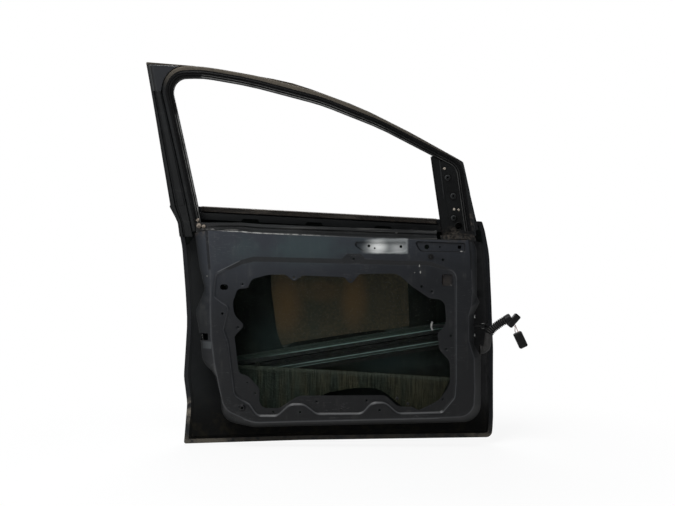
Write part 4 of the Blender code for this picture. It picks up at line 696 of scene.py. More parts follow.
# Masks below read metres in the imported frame: the panel's raised face is at y -0.050, its sunken field at y -0.043
@material("panel_paint_worn")
def panel_paint(f):
    """Dark blue-grey factory paint with dust runs and stains, and painted light and shade: paler above, black in the
    deep wall, highlights on steps and rims, a silvery highlight in the pocket.
    """
    clouds = f.noise(5.0, 4.0)
    fine = f.noise(42.0, 5.0, 0.62)
    grain = f.noise(900.0, 2.0)
    # The ground: painted light, darker below and paler above, with dust and brown stains
    height = f.z - f.x * 0.16 + clouds * 0.12 - 0.12
    f.tones(height, -0.40, -0.06, "panel", 0.3, 0.8)
    f.coat(f.ramp(height, -0.06, 0.20), tint("panel", 3.2))
    teal = f.patch(-560, 120, 330, 60, 0.9) * f.ramp(clouds, 0.42, 0.62)
    f.coat(teal * 0.6, (0.026, 0.042, 0.044))
    runs = f.noise(9.0, 4.0, 0.6, (6.0, 0.7))
    dust = f.ramp(runs, 0.50, 0.78) * f.ramp(fine, 0.38, 0.7)
    f.coat(dust * 0.16, tint("dust"))
    brown = f.patches((-62, 172, 52, 34), (-10, 175, 26, 40), (-872, 178, 22, 30))
    f.coat(brown * f.ramp(fine, 0.40, 0.56) * 0.7, (0.085, 0.068, 0.052))
    # Painted light and shade on the field's step, the lower rims and the belt's lip
    # painted shade on the step's upper slope, which faces down
    upper_slope_shade = f.band(f.y, -0.0494, -0.0443, 0.0005) * f.ramp(f.z, 0.045, 0.055)
    f.coat(upper_slope_shade * 0.75, (0.0020, 0.0022, 0.0026))
    # painted highlight along the lower rims
    rim = f.band(f.y, -0.0493, -0.0464, 0.0004) * f.fall(f.z, 0.045, 0.055) * f.ramp(fine, 0.15, 0.5)
    f.coat(rim * 0.55, (0.042, 0.044, 0.048))
    # painted highlight along the foot of the field's lower step
    foot = f.band(f.y, -0.0468, -0.0443, 0.0004) * f.fall(f.z, -0.30, -0.29) * f.ramp(fine, 0.1, 0.4)
    f.coat(foot * f.band(f.x, -0.73, -0.12, 0.01) * 0.6, (0.085, 0.088, 0.090))
    # painted highlight along the panel's top lip
    lip = f.ramp(f.y, -0.0498, -0.0488) * f.ramp(f.z, 0.128, 0.134)
    lip = lip * f.ramp(f.x, -0.842, -0.836) * f.fall(f.x, -0.62, -0.42)
    f.coat(lip * f.ramp(f.noise(60.0, 4.0), 0.35, 0.55), (0.20, 0.20, 0.19))
    # painted highlight along the field's diagonal edge at the rear
    diagonal_highlight = f.band(f.z - f.x * 0.5, 0.4475, 0.4505, 0.0012) * f.band(f.x, -0.812, -0.742, 0.006)
    f.coat(diagonal_highlight * 0.7, (0.075, 0.078, 0.082))
    # The pocket: a painted silvery highlight with a brighter painted spot
    wide = f.band(f.x, -0.386, -0.219, 0.004) * f.band(f.z + f.noise(30.0) * 0.006, 0.1035, 0.150, 0.0035)
    corner = f.ramp(f.x - f.z * 0.9, -0.487, -0.455)
    sheen = wide * corner * f.ramp(f.x + f.z * 0.5, -0.318, -0.278)
    bright = f.patch(-312, 122, 30, 22, 0.9).most(f.patch(-250, 118, 24, 18, 0.9) * 0.3)
    pocket_highlight = f.mix(bright * 0.85 + 0.1, (0.085, 0.095, 0.098), (0.60, 0.61, 0.60))
    f.coat(sheen, pocket_highlight)
    # Small marks, the rear flange, the square recess, scratches and specks
    marks = f.patches((-182, 62, 1.8, 4.5, 0.4), (-179, 42, 2.0, 4.5, 0.4), (-197, 41, 1.6, 1.6, 0.3),
                      (-846, 30, 1.6, 2.0, 0.3), (-51, 107, 4.5, 2.0, 0.3))
    f.coat(marks * f.ramp(fine, 0.25, 0.5) * 0.8, (0.30, 0.30, 0.28))
    flange = f.band(f.x, -0.861, -0.832, 0.0015) * f.band(f.z, -0.197, -0.1745, 0.0015)
    f.coat(flange * 0.8, (0.045, 0.05, 0.053))
    recess = f.band(f.x, -0.110, -0.079, 0.002) * f.band(f.z, 0.0, 0.034, 0.002) * f.ramp(fine, 0.25, 0.6)
    f.coat(recess * 0.6, (0.034, 0.026, 0.020))
    scratch = f.band(f.noise(120.0, 2.0, 0.5, (0.25, 2.2)), 0.615, 0.63, 0.004)
    f.coat(scratch * f.ramp(f.noise(7.0), 0.5, 0.62) * 0.35, (0.12, 0.12, 0.12))
    specks = f.fall(f.cells(260.0), 0.05, 0.13) * f.ramp(f.noise(30.0), 0.54, 0.66)
    f.coat(specks * 0.4, (0.14, 0.14, 0.13))
    rough = 0.30 + fine * 0.18 + dust * 0.18
    normal = f.bump(grain, 0.05, 0.0003)
    normal = f.bump(f.noise(26.0, 2.0), 0.12, 0.0012, normal)
    open_face = f.shader(f.colour, rough, normal, Specular_IOR_Level=0.27)
    # The deep wall and the land behind the face: painted shade with olive dirt, and the front side painted lighter
    # where the lamps only graze it
    behind = (f.z + 0.13) * (f.z + 0.13) * (-0.2174) + 0.064 - f.y
    # painted shade that makes the deep wall black
    wall = f.band(behind, 0.0125, 0.076, 0.004)
    # painted shade on the low land at the bottom, black mixed with olive dirt
    low = f.fall(f.z, -0.46, -0.30) * f.fall(behind, 0.060, 0.080)
    grime_and_shade = f.mix(f.ramp(fine, 0.46, 0.72), (0.0012, 0.0013, 0.0012), (0.0055, 0.0048, 0.0028))
    side_land = f.mix(f.ramp(clouds, 0.35, 0.6), (0.0055, 0.0062, 0.0066), (0.0100, 0.0108, 0.0112))
    # painted light: the front wall and land lighter where the lamps only graze them
    front = f.ramp(f.x, -0.012, 0.004) * f.ramp(f.noise(20.0), 0.25, 0.5)
    side_land = f.mix(front, side_land, (0.0230, 0.0234, 0.0240))
    hinge = f.band(f.z, -0.27, -0.07, 0.02)
    # painted light on the front wall, away from the hinges
    grime_and_shade = f.mix(front.most(f.ramp(f.x, -0.026, -0.012)) * (1.0 - hinge) * f.ramp(f.z, -0.40, -0.30), grime_and_shade,
                  (0.050, 0.051, 0.053))
    dull = f.shader(f.mix(wall.most(low), side_land, grime_and_shade), 0.75, normal, Specular_IOR_Level=0.08)
    share = f.ramp(f.y, -0.048, -0.018)
    return f.done(f.blended(share, open_face, dull))


@material("outer_paint_glossy")
def outer_paint(f):
    """Glossy body paint on the outside of the skin, with fine dust and a few scuffs."""
    fine = f.noise(60.0, 5.0, 0.6)
    f.tones(f.noise(4.0, 3.0), 0.3, 0.7, "panel", 0.9, 1.5)
    scuff = f.band(f.noise(90.0, 2.0, 0.5, (0.3, 2.5)), 0.62, 0.64, 0.005)
    f.coat(scuff * f.ramp(f.noise(5.0), 0.5, 0.6) * 0.5, (0.14, 0.14, 0.14))
    low = f.fall(f.z, -0.50, -0.30)
    f.coat(low * f.ramp(fine, 0.45, 0.7) * 0.5, tint("dust", 0.8))
    rough = 0.16 + fine * 0.12 + low * 0.15
    return f.painted(rough, f.bump(f.noise(900.0, 2.0), 0.02, 0.0003), Coat_Weight=0.4)


def header_share(f):
    """1 on the header above the window, 0 on the pillars."""
    above = f.ramp(f.z + f.x * 0.45, 0.165, 0.20)
    return above * f.ramp(f.x, -0.985, -0.925) * f.fall(f.x, -0.13, -0.03)


@material("frame_paint_worn")
def frame_paint(f):
    """Satin near-black paint, filmed with beige wax along the header."""
    fine = f.noise(60.0, 5.0, 0.6)
    f.tones(f.noise(7.0), 0.35, 0.75, "frame", 0.7, 1.5)
    streaks = f.ramp(f.noise(14.0, 4.0, 0.6, (0.5, 5.0)), 0.55, 0.75)
    f.coat(streaks * fine * 0.5, (0.04, 0.04, 0.038))
    film = header_share(f) * (f.ramp(fine, 0.2, 0.55) * 0.35 + 0.65) * (1.0 - f.ramp(f.x, -0.55, 0.1) * 0.6)
    f.coat(film, tint("sash"))
    rough = 0.34 + fine * 0.2
    normal = f.bump(f.noise(700.0, 2.0), 0.08, 0.0004)
    brazed = f.patches((-78, 186, 34, 18), (-14, 205, 14, 30)) * f.ramp(fine, 0.42, 0.58)
    f.coat(brazed * 0.7, (0.060, 0.050, 0.040))
    return f.painted(rough, normal, 0.2)


@material("bracket_paint_matt")
def bracket_paint(f):
    """Matt black paint of the mirror corner: painted shade round the bosses and in a recess above the hole, painted
    highlights on the bosses' crests, crumpled braze at its foot.
    """
    fine = f.noise(70.0, 5.0, 0.62)
    f.tones(f.noise(16.0), 0.35, 0.7, "frame", 0.4, 0.8)
    # Painted shade round each boss, a painted highlight ring on its crest, and its top inside the ring darker again
    for x, z in MIRROR_BOSSES:
        shadow = MIRROR_BOSS_R * 1.35
        f.coat(f.patch(x, z, shadow, shadow, 0.2), (0.0012, 0.0012, 0.0012))
        crest_highlight = f.patch(x, z, 9.4, 9.4, 0.15) * (1.0 - f.patch(x + 0.6, z - 0.8, 7.2, 7.2, 0.2))
        f.coat(crest_highlight * 0.8, (0.040, 0.042, 0.043))
        f.coat(f.patch(x, z, 6.4, 6.4, 0.15), (0.0075, 0.0080, 0.0085))
    # painted shade of a recess above the mirror hole
    recess = f.patch(-56, 203, 12, 24, 0.3)
    f.coat(recess, (0.0010, 0.0010, 0.0010))
    ridge = f.band(f.x + f.z * 0.1406, -0.0655, -0.0630, 0.0006)
    f.coat(ridge * f.ramp(f.z, 0.26, 0.30) * 0.5, (0.030, 0.031, 0.032))
    brazed = f.patches((-78, 163, 30, 24), (-25, 199, 14, 30), (-60, 152, 70, 12))
    brazed = brazed * f.ramp(f.noise(150.0, 5.0), 0.36, 0.76)
    f.coat(brazed * 0.62, (0.078, 0.066, 0.054))
    normal = f.bump(f.noise(60.0, 4.0), 0.25, 0.0012)
    return f.painted(0.45 + fine * 0.2, normal, 0.12)


@material("rail_paint_rubbed")
def rail_paint(f):
    """Dark strip paint, streaked, with a few light dashes along one line."""
    fine = f.noise(80.0, 5.0, 0.62)
    f.tones(f.noise(9.0), 0.35, 0.7, "frame", 0.7, 2.0)
    dashes = f.band(f.x, -0.868, -0.824, 0.004).most(f.band(f.x, -0.790, -0.752, 0.008) * 0.5)
    dashes = dashes.most(f.band(f.x, -0.256, -0.249, 0.002)) * f.band(f.z + f.x * 0.02, 0.1590, 0.1612, 0.001)
    f.coat(dashes * f.ramp(fine, 0.3, 0.6), (0.22, 0.215, 0.205))
    runs = f.ramp(f.noise(12.0, 4.0, 0.6, (0.4, 9.0)), 0.55, 0.66)
    f.coat(runs * 0.4, (0.075, 0.074, 0.070))
    return f.painted(0.38 + fine * 0.2, f.bump(fine, 0.1, 0.0004), 0.36)


@material("sash_paint_worn")
def sash_paint(f):
    """Dull brown film on the sash flange along the header, and plain paint below."""
    fine = f.noise(55.0, 5.0, 0.6)
    film = f.mix(f.ramp(fine, 0.3, 0.7), tint("sash", 0.55), tint("sash", 1.1))
    plain = f.mix(f.ramp(fine, 0.3, 0.7), tint("frame", 0.8), tint("frame", 2.0))
    corner = f.ramp(f.z + f.x * 0.15, 0.526, 0.530)
    f.colour = f.mix(header_share(f).most(corner), plain, film)
    rough = 0.45 + fine * 0.25
    return f.painted(rough, f.bump(f.noise(500.0), 0.08, 0.0004), 0.3)


@material("gusset_paint_flat")
def gusset_paint(f):
    """Flat dark blue-grey paint, with the pillar's edge bands carried up to the corner: a darker band and painted
    highlight lines.
    """
    fine = f.noise(50.0, 5.0, 0.6)
    f.tones(f.noise(10.0), 0.3, 0.7, "panel", 0.9, 1.4)
    edge = f.x + 1.026 + (f.z - 0.688) * 0.1227
    f.coat(f.fall(edge, 0.018, 0.021), (0.0035, 0.0038, 0.0040))
    # painted highlights: light lines of the pillar's edges
    line = f.band(edge, 0.0115, 0.0145, 0.0008).most(f.band(edge, 0.0215, 0.0235, 0.0006) * 0.5)
    f.coat(line * 0.8, (0.035, 0.037, 0.038))
    return f.painted(0.4 + fine * 0.2, f.bump(fine, 0.08, 0.0004), 0.3)


@material("hem_paint_worn")
def hem_paint(f):
    """Paint of the skin's folded hem, with sealer that has turned beige and brown."""
    fine = f.noise(45.0, 5.0, 0.62)
    f.tones(f.noise(8.0), 0.3, 0.7, "panel", 0.5, 1.1)
    beige = f.patches((-915, -404, 14, 40), (-860, -500, 110, 14), (30, -480, 60, 16))
    f.coat(beige * f.ramp(fine, 0.35, 0.6) * 0.8, (0.17, 0.15, 0.12))
    low = f.fall(f.z, -0.5, -0.43)
    f.coat(low * f.ramp(fine, 0.3, 0.6) * 0.8, (0.034, 0.029, 0.021))
    rough = 0.42 + fine * 0.2
    return f.painted(rough, f.bump(f.noise(300.0), 0.12, 0.0005), 0.2)


@material("cavity_paint_waxed")
def cavity_paint(f):
    """Dull dark primer with wax on the inside of the skin, painted darker still as the shade inside the door."""
    fine = f.noise(24.0, 5.0, 0.6)
    # dark primer, painted darker for the shade inside the door
    f.ground(fine, 0.3, 0.75, (0.0015, 0.0026, 0.0021), (0.0055, 0.0080, 0.0068))
    streaks = f.ramp(f.noise(11.0, 4.0, 0.6, (7.0, 0.5)), 0.5, 0.75)
    f.coat(streaks * 0.3, (0.010, 0.014, 0.010))
    teal = f.patch(-300, -235, 170, 60, 0.8).most(f.patch(-640, -180, 90, 90, 0.8) * 0.6)
    f.coat(teal * 0.5, (0.012, 0.024, 0.024))
    return f.painted(0.5 + fine * 0.2, f.bump(fine, 0.1, 0.001), 0.06)


@material("beam_primer")
def beam_paint(f):
    """Dark green-grey primer on the side beam, with painted highlight lines along its ridges."""
    fine = f.noise(48.0, 5.0, 0.6)
    across = f.z - f.x * 0.16
    f.ground(fine, 0.3, 0.7, (0.0026, 0.0040, 0.0036), (0.0052, 0.0080, 0.0070))
    upper = f.ramp(across, -0.1235, -0.1215)
    f.coat(upper * 0.9, (0.011, 0.019, 0.015))
    middle = f.band(across, -0.1720, -0.1625, 0.0008)
    f.coat(middle * 0.7, (0.010, 0.017, 0.014))
    # painted highlight lines along the beam's three ridges
    crest_highlights = f.band(across, -0.1242, -0.1218, 0.0006).most(f.band(across, -0.1636, -0.1616, 0.0006))
    crest_highlights = crest_highlights.most(f.band(across, -0.1732, -0.1712, 0.0006)) * f.ramp(f.x, -0.72, -0.50)
    f.coat(crest_highlights * f.ramp(fine, 0.2, 0.45), (0.105, 0.160, 0.145))
    return f.painted(0.4 + fine * 0.2, f.bump(fine, 0.08, 0.001), 0.15)


def moulded(f, colour, rough, mottle):
    """Moulded plastic in a colour of its own, mottled and a little dusty."""
    fine = f.noise(70.0, 5.0, 0.62)
    f.tones(f.noise(12.0, 3.0), 0.35, 0.7, colour, 1.0 - mottle, 1.0 + mottle)
    f.coat(f.ramp(fine, 0.5, 0.8) * 0.2, tint("dust", 0.4))
    return f.painted(rough + fine * 0.15 - 0.08, f.bump(f.noise(420.0, 3.0), 0.15, 0.0005), 0.2)


@material("grey_plastic_moulded")
def grey_plastic(f):
    return moulded(f, "plastic", 0.5, 0.18)


@material("wire_cover_brown")
def wire_cover(f):
    return moulded(f, "wire", 0.45, 0.2)


@material("seal_rubber_matt")
def seal_rubber(f):
    """Black rubber with a dry sheen, a little dust, painted highlight lines along its ribs and a near-black moulded
    corner.
    """
    fine = f.noise(70.0, 5.0, 0.62)
    f.tones(f.noise(12.0), 0.35, 0.7, "rubber", 0.7, 1.5)
    f.coat(f.ramp(fine, 0.55, 0.8) * 0.3, tint("dust", 0.3))
    # painted highlight lines along the ribs' tops, from values kept on the mesh
    worn = f.kept("worn")
    rib_glint = f.ramp(worn, 0.45, 1.0) * (f.ramp(f.noise(18.0), 0.3, 0.6) * 0.7 + 0.3)
    rib_glint = rib_glint * (1.0 - f.ramp(f.x, -0.34, -0.17) * 0.78)
    f.coat(rib_glint, (0.17, 0.17, 0.165))
    f.coat(f.ramp(worn * (-1.0), 0.3, 0.7), (0.0008, 0.0008, 0.0008))
    return f.painted(0.4 + fine * 0.2, f.bump(f.noise(420.0, 3.0), 0.12, 0.0004), 0.12)


@material("belt_rubber_weathered")
def belt_rubber(f):
    """Weathered brown strip, mottled, with dusty streaks."""
    fine = f.noise(95.0, 6.0, 0.68)
    broad = f.noise(20.0, 3.0, 0.5, (0.5, 3.0))
    f.tones(fine, 0.38, 0.64, "belt", 0.5, 1.7)
    f.coat(f.ramp(broad, 0.5, 0.72) * 0.6, (0.11, 0.095, 0.078))
    return f.painted(0.62 + fine * 0.2, f.bump(fine, 0.25, 0.0006))


@material("boot_rubber_dusty")
def boot_rubber(f):
    """Dusty grey-black rubber, with painted shade that makes its folds black."""
    fine = f.noise(90.0, 5.0, 0.62)
    f.tones(fine, 0.3, 0.7, "boot", 0.7, 1.2)
    groove = f.kept("groove")
    # painted shade in the folds
    f.coat(f.ramp(groove, 0.06, 0.22), (0.0006, 0.0006, 0.0006))
    return f.painted(0.5 + fine * 0.2, f.bump(fine, 0.1, 0.0003), 0.2)


@material("damping_sheet_aged")
def pad_sheet(f):
    """Olive bitumen sheet, speckled, with two ochre glows where light falls in."""
    fine = f.noise(150.0, 4.0, 0.6)
    broad = f.noise(6.0, 3.0, 0.5, (2.0, 0.6))
    f.ground(fine, 0.35, 0.68, (0.010, 0.010, 0.005), (0.026, 0.023, 0.010))
    f.coat(f.ramp(broad, 0.5, 0.75) * 0.5, (0.009, 0.014, 0.009))
    glow = f.patches((-610, -60, 60, 100, 0.9), (-385, -45, 46, 95, 0.9)).most(f.patch(-500, -20, 110, 40) * 0.35)
    f.coat(glow * 0.6, (0.068, 0.038, 0.008))
    edge = f.z - f.x * 0.15 + f.noise(70.0, 4.0) * 0.006
    f.coat(f.fall(edge, -0.1002, -0.0995), (0.0060, 0.0110, 0.0085))
    f.coat(f.band(edge, -0.1010, -0.0995, 0.0004) * 0.8, (0.0010, 0.0012, 0.0010))
    return f.painted(0.6, f.bump(fine, 0.3, 0.001), 0.2)


@material("bare_steel_dull")
def bare_steel(f):
    """Dull zinc plating with white bloom."""
    fine = f.noise(110.0, 5.0, 0.6)
    f.tones(fine, 0.35, 0.65, "steel", 0.55, 1.1)
    return f.painted(0.38 + fine * 0.25, f.bump(fine, 0.15, 0.0004), Metallic=0.75)


@material("lump_metal_brazed")
def lump_metal(f):
    """Dull beige brazing metal, pitted and rough."""
    fine = f.noise(160.0, 5.0, 0.65)
    f.ground(fine, 0.35, 0.65, (0.045, 0.036, 0.028), (0.22, 0.185, 0.15))
    return f.painted(0.5 + fine * 0.2, f.bump(fine, 0.6, 0.0015), 0.3)


@material("braze_beige")
def braze(f):
    """Beige brass of the rivets, darker in its pits."""
    fine = f.noise(160.0, 5.0, 0.6)
    f.ground(fine, 0.35, 0.65, (0.12, 0.10, 0.08), (0.34, 0.30, 0.25))
    return f.painted(0.45 + fine * 0.2, f.bump(fine, 0.4, 0.0012))


@material("pane_dusty_green")
def pane(f):
    """Dusty green glass: clear above, streaked with dried dirt towards its foot."""
    streaks = f.noise(46.0, 5.0, 0.68, (7.0, 0.30))
    drops = f.noise(11.0, 4.0, 0.6, (3.0, 0.5))
    fine = f.noise(70.0, 4.0, 0.6)
    line = f.z + f.x * 0.060 + fine * 0.003
    foot = f.fall(line, -0.3000, -0.2965)
    rim = f.band(line, -0.3095, -0.3000, 0.0025)
    film = f.ramp(streaks, 0.34, 0.62)
    dirt = foot * (0.50 + film * 0.40) + (1.0 - foot) * (0.03 + f.ramp(drops, 0.5, 0.8) * 0.09)
    tone = f.mix(f.ramp(drops + f.x * 0.5, 0.05, 0.50), (0.018, 0.027, 0.021), (0.030, 0.030, 0.018))
    f.colour = f.mix(film * 0.7 + 0.3 * f.ramp(drops, 0.3, 0.6), (0.0052, 0.0070, 0.0048), tone)
    f.coat(rim * 0.7, (0.034, 0.042, 0.032))
    mark = f.patch(-694, -258, 10, 12, 0.3) * (1.0 - f.patch(-690, -264, 7, 9, 0.3))
    f.coat(mark * 0.8, (0.002, 0.002, 0.002))
    shader = f.shader(f.colour, 0.10 + film * 0.1 + foot * 0.45, f.bump(fine, 0.02, 0.0004), Specular_IOR_Level=0.06)
    f.tree.links.new(dirt.most(mark * 0.8).socket, shader.inputs["Alpha"])
    return f.done(shader)


def run_path(longest=30.0):
    """The lip line of the daylight opening, down to the frame's foot on the rear pillar."""
    *corners, top, foot = RUN_LINE
    share = (FRAME_FOOT - foot[1]) / (top[1] - foot[1])
    corners += [top, (foot[0] + (top[0] - foot[0]) * share, FRAME_FOOT, 0)]
    return rounded(corners, closed=False, turn=6.0, longest=longest)


def reach(point, normal, outline):
    """How far an outline lies from a point along a direction."""
    found = []
    for a, b in zip(outline, outline[1:]):
        way = b - a
        cross = normal.x * way.y - normal.y * way.x
        if abs(cross) < 1e-9:
            continue
        gap = a - point
        along = (gap.x * way.y - gap.y * way.x) / cross
        share = (gap.x * normal.y - gap.y * normal.x) / cross
        if along > 0 and -0.001 <= share <= 1.001:
            found.append(along)
    return min(found, default=FRAME_WIDE + SASH_EDGE)


def frame_place(point, normal, spot, _):
    """A frame profile's point: outwards from the lip line, and inwards from the body side."""
    x, z = point.x + normal.x * spot[0], point.y + normal.y * spot[0]
    return x, side(z) - spot[1], z


def lower_part(loop, top):
    """The run of a closed outline below a height, from its front end round to its rear end."""
    kept = [i for i, p in enumerate(loop) if p.y < top]
    start = next(i for i in kept if loop[i - 1].y >= top and loop[i].x > CROWN_X)
    run = []
    for k in range(len(loop)):
        point = loop[(start + k) % len(loop)]
        if point.y >= top:
            break
        run.append(point)
    return run


def wall_ring(plan_shift, real_shift, y_of):
    """A ring round the raised wall: its place in plan, and where it stands on the real pressing."""
    plan, real = (arcs(grown(RAISED_EDGE, shift, closed=False), False, TURN) for shift in (plan_shift, real_shift))
    plan, real = divided(plan, False, LONGEST), divided(plan, False, LONGEST, real)
    return plan, lifted(real, y_of), False


def stepped(corners, wide, top, depth):
    """The rings of a rounded step down, from the outline inwards."""
    rows = ((-0.1, 0.0), (0.18, 0.10), (0.5, 0.5), (0.82, 0.90), (1.1, 1.0))
    return [flat_ring(rounded(grown(corners, -wide * across)), top + depth * share) for across, share in rows]


def dimpled(x, z, radius):
    """Whether a hole in the field is a screw hole with room for a dimple round it."""
    if radius != SCREW_R:
        return False
    rim = moved_out(rounded(APERTURE, longest=6.0), 2.0)
    step = rounded(grown(FIELD_FLOOR, -1.5), longest=6.0)
    return min((p - Vector((x, z))).length for p in rim + step) > radius + DIMPLE_ROOM


def wall_rows():
    """Open rings from the panel's flange over the land and up the wall to its raised face."""
    rows = []
    for shift, depth in ((0.0, 0.6), (HEM + 5.0, 0.6), (HEM + 7.5, LAND * 0.5), (HEM + 10.0, LAND)):
        rows.append(side_ring(lower_part(rounded(grown(SKIN_OUTLINE, -SHEET - GAP - shift)), PANEL_TOP), depth, False))
    for plan, angle in ((14.0, 0.0), (12.2, 35.0), (10.6, 65.0), (9.0, 90.0)):
        turn = math.radians(angle)
        real, drop = FOOT_ROUND - FOOT_ROUND * math.sin(turn), WALL_FOOT - FOOT_ROUND * math.cos(turn)
        rows.append(wall_ring(plan, real, lambda p, drop=drop: side(p.y) - drop))
    for plan, real, high in ((4.0, 0.0, 0.0), (2.0, -0.6, 2.4), (0.2, -1.9, 4.2), (-1.6, -3.6, 5.6)):
        rows.append(wall_ring(plan, real, lambda p, high=high: -WALL_TOP - high))
    for shift, drop in ((3.2, 2.6), (0.4, 0.7), (-2.6, 0.0)):
        rows.append(flat_ring(rounded(grown(FACE_EDGE, shift, closed=False), closed=False), -FACE + drop, False))
    return rows


def face_rings():
    """Closed rings on the panel's face: the steps of the field and the pockets, the boss and the dimples."""
    loops = [flat_ring(rounded(grown(corners, shift)), y) for corners, shift, y in (
        (FIELD, 1.2, -FACE), (FIELD, -0.8, -FACE + 0.9),
        (FIELD_FLOOR, 1.6, FIELD_Y - 0.7), (FIELD_FLOOR, -0.6, FIELD_Y))]
    for corners in (BRIGHT_POCKET, MIRROR_POCKET):
        loops += stepped(corners, 5.0, -FACE, POCKET_DEPTH)
    loops += stepped(SQUARE_POCKET, 4.0, FIELD_Y, POCKET_DEPTH)
    for share, high in ((1.0, 0.0), (0.93, 0.12), (0.78, 0.55), (0.66, 0.9), (0.56, 1.0)):
        loops.append(flat_ring(circle(BOSS_X, BOSS_Z, BOSS_R * share), -FACE - BOSS_HIGH * high))
    for x, z, radius in FIELD_HOLES:
        if dimpled(x, z, radius):
            for wide, drop in ((4.4, 0.0), (3.4, 0.35), (2.2, 1.1), (1.4, DIMPLE)):
                loops.append(flat_ring(circle(x, z, radius + wide), FIELD_Y + drop))
    x, z, radius = TAB_HOLE
    loops.append(flat_ring(circle(x, z, radius + 2.6), -FACE + FIELD_DEPTH * 0.42))
    loops.append(flat_ring(moved_out(rounded(APERTURE), 1.6), FIELD_Y))
    return loops


def face_holes():
    """The opening, the round holes, the slot and the square hole of the panel's face."""
    spots = [(BOSS_X, BOSS_Z, CLIP_R, -FACE - BOSS_HIGH)]
    spots += [(*hole, FIELD_Y + (DIMPLE if dimpled(*hole) else 0.0)) for hole in FIELD_HOLES]
    spots += [(*hole, -FACE) for hole in FACE_HOLES]
    spots.append((*TAB_HOLE, -FACE + FIELD_DEPTH * 0.55))
    spots += [(*hole, -FACE + POCKET_DEPTH) for hole in POCKET_HOLES]
    return [
        flat_ring(rounded(APERTURE), FIELD_Y + 0.7),
        *(flat_ring(circle(x, z, radius), y + (0.5 if radius > 3.4 else 0.0)) for x, z, radius, y in spots),
        flat_ring(rounded([(-805, 4, 8), (-805, -13, 8), (-780, -13, 8), (-780, 4, 8)]), FIELD_Y),
        flat_ring(rounded([(-62, 125, 1), (-62, 115, 1), (-52, 115, 1), (-52, 125, 1)]), -FACE + POCKET_DEPTH),
    ]


def panel_sheet():
    """The pressed inner panel with rounded folds, steps, pockets and holes."""
    first, *rows = wall_rows()
    top = [Vector(p) for p in TOP_EDGE]
    outline = [*first[0], *(row[0][-1] for row in rows), *top, *(row[0][0] for row in reversed(rows))]
    places = [*first[1], *(row[1][-1] for row in rows), *flat_ring(top, -FACE + 5.0)[1],
              *(row[1][0] for row in reversed(rows))]
    contours = rows + face_rings()
    for lower, y in ((1.6, -FACE + 1.4), (5, -FACE)):
        contours.append(flat_ring([p - Vector((0, lower)) for p in top], y, False))
    panel = pressing("inner_panel_pressing", (outline, places, True), contours, face_holes(), SHEET)
    for x, z in ((0.0, 0.0), (LOWER_HINGE_X, LOWER_HINGE_Z)):
        for shift in (-HINGE_BOLT_SPAN / 2, HINGE_BOLT_SPAN / 2):
            drilled(panel, (x - 12, HINGE_Y, z + shift), HINGE_BOLT_R, 24)
    low, high = (NOTCH_X - 12, CHECK_Y - 10, CHECK_Z - 6), (NOTCH_X + 12, CHECK_Y + 10, CHECK_Z + 6)
    cut(panel, block("arm_slot", low, high))
    for shift in (-BOLT_SPAN / 2, BOLT_SPAN / 2):
        drilled(panel, (NOTCH_X - 9, CHECK_Y, CHECK_Z + shift), BOLT_R + GAP, 18)
    cut(panel, block("mouth", (-890, -FACE - 10, LOCK_Z - LOCK_HIGH / 2), (-843, -28, LOCK_Z + LOCK_HIGH / 2)))
    return smoothed(panel, sharp=38.0)


def grid(outline, step, margin):
    """Points of a square grid that lie well inside an outline."""
    low_x, high_x = min(p.x for p in outline), max(p.x for p in outline)
    low_z, high_z = min(p.y for p in outline), max(p.y for p in outline)
    across = max(1, round((high_x - low_x) / step))
    upright = max(1, round((high_z - low_z) / step))
    found = []
    for i in range(1, across):
        for k in range(1, upright):
            point = Vector((low_x + (high_x - low_x) * i / across, low_z + (high_z - low_z) * k / upright))
            if inside(point, outline) and min((point - p).length for p in outline) > margin:
                found.append(point)
    return found


def skin_sheet():
    """The outer panel: a crowned sheet whose edge is folded back round the inner panel's flange."""
    edge, lining, hem = (rounded(SKIN_OUTLINE, inset=inset) for inset in (0.0, SHEET, HEM + SHEET + GAP))
    outer, inner = SHEET * 1.5 + GAP, SHEET / 2 + GAP
    dish, middle, floor_ring = (rounded(HANDLE_DISH, inset=inset) for inset in (0.0, 7.0, 14.0))
    steps = ((moved_out(dish, 4.0), 0.0), (dish, 0.6), (middle, HANDLE_DEPTH * 0.5), (floor_ring, HANDLE_DEPTH))
    spots = [p for p in grid(edge, 48.0, 22.0) if not inside(p, moved_out(dish, 10.0))]

    def face(boundary, offset):
        def crowned(drop):
            return lambda p: skin_y(p.x, p.y) + offset - drop

        rings = [(ring, lifted(ring, crowned(drop)), True) for ring, drop in steps]
        return triangulated(side_ring(boundary, -offset), rings, [], zip(spots, lifted(spots, crowned(0.0))))

    verts, faces = face(edge, outer)
    count, outside = len(edge), len(faces)
    back_verts, back_faces = face(lining, inner)
    rings = [list(range(count))]
    for ring, offset in ((edge, -outer), (hem, -outer), (hem, -inner), (lining, -inner)):
        rings.append(list(range(len(verts), len(verts) + count)))
        verts.extend(side_ring(ring, -offset)[1])
    shift = len(verts)
    rings.append([shift + k for k in range(count)])
    verts.extend(back_verts)
    faces.extend(tuple(i + shift for i in face_) for face_ in back_faces)
    inner_end = len(faces)
    for first, second in zip(rings, rings[1:]):
        for k in range(count):
            after = (k + 1) % count
            faces.append((first[k], first[after], second[after], second[k]))
    skin = solid("outer_skin_sheet", verts, faces)
    for i, polygon in enumerate(skin.data.polygons):
        polygon.material_index = 0 if i < outside else 1 if i < inner_end else 2
    return skin


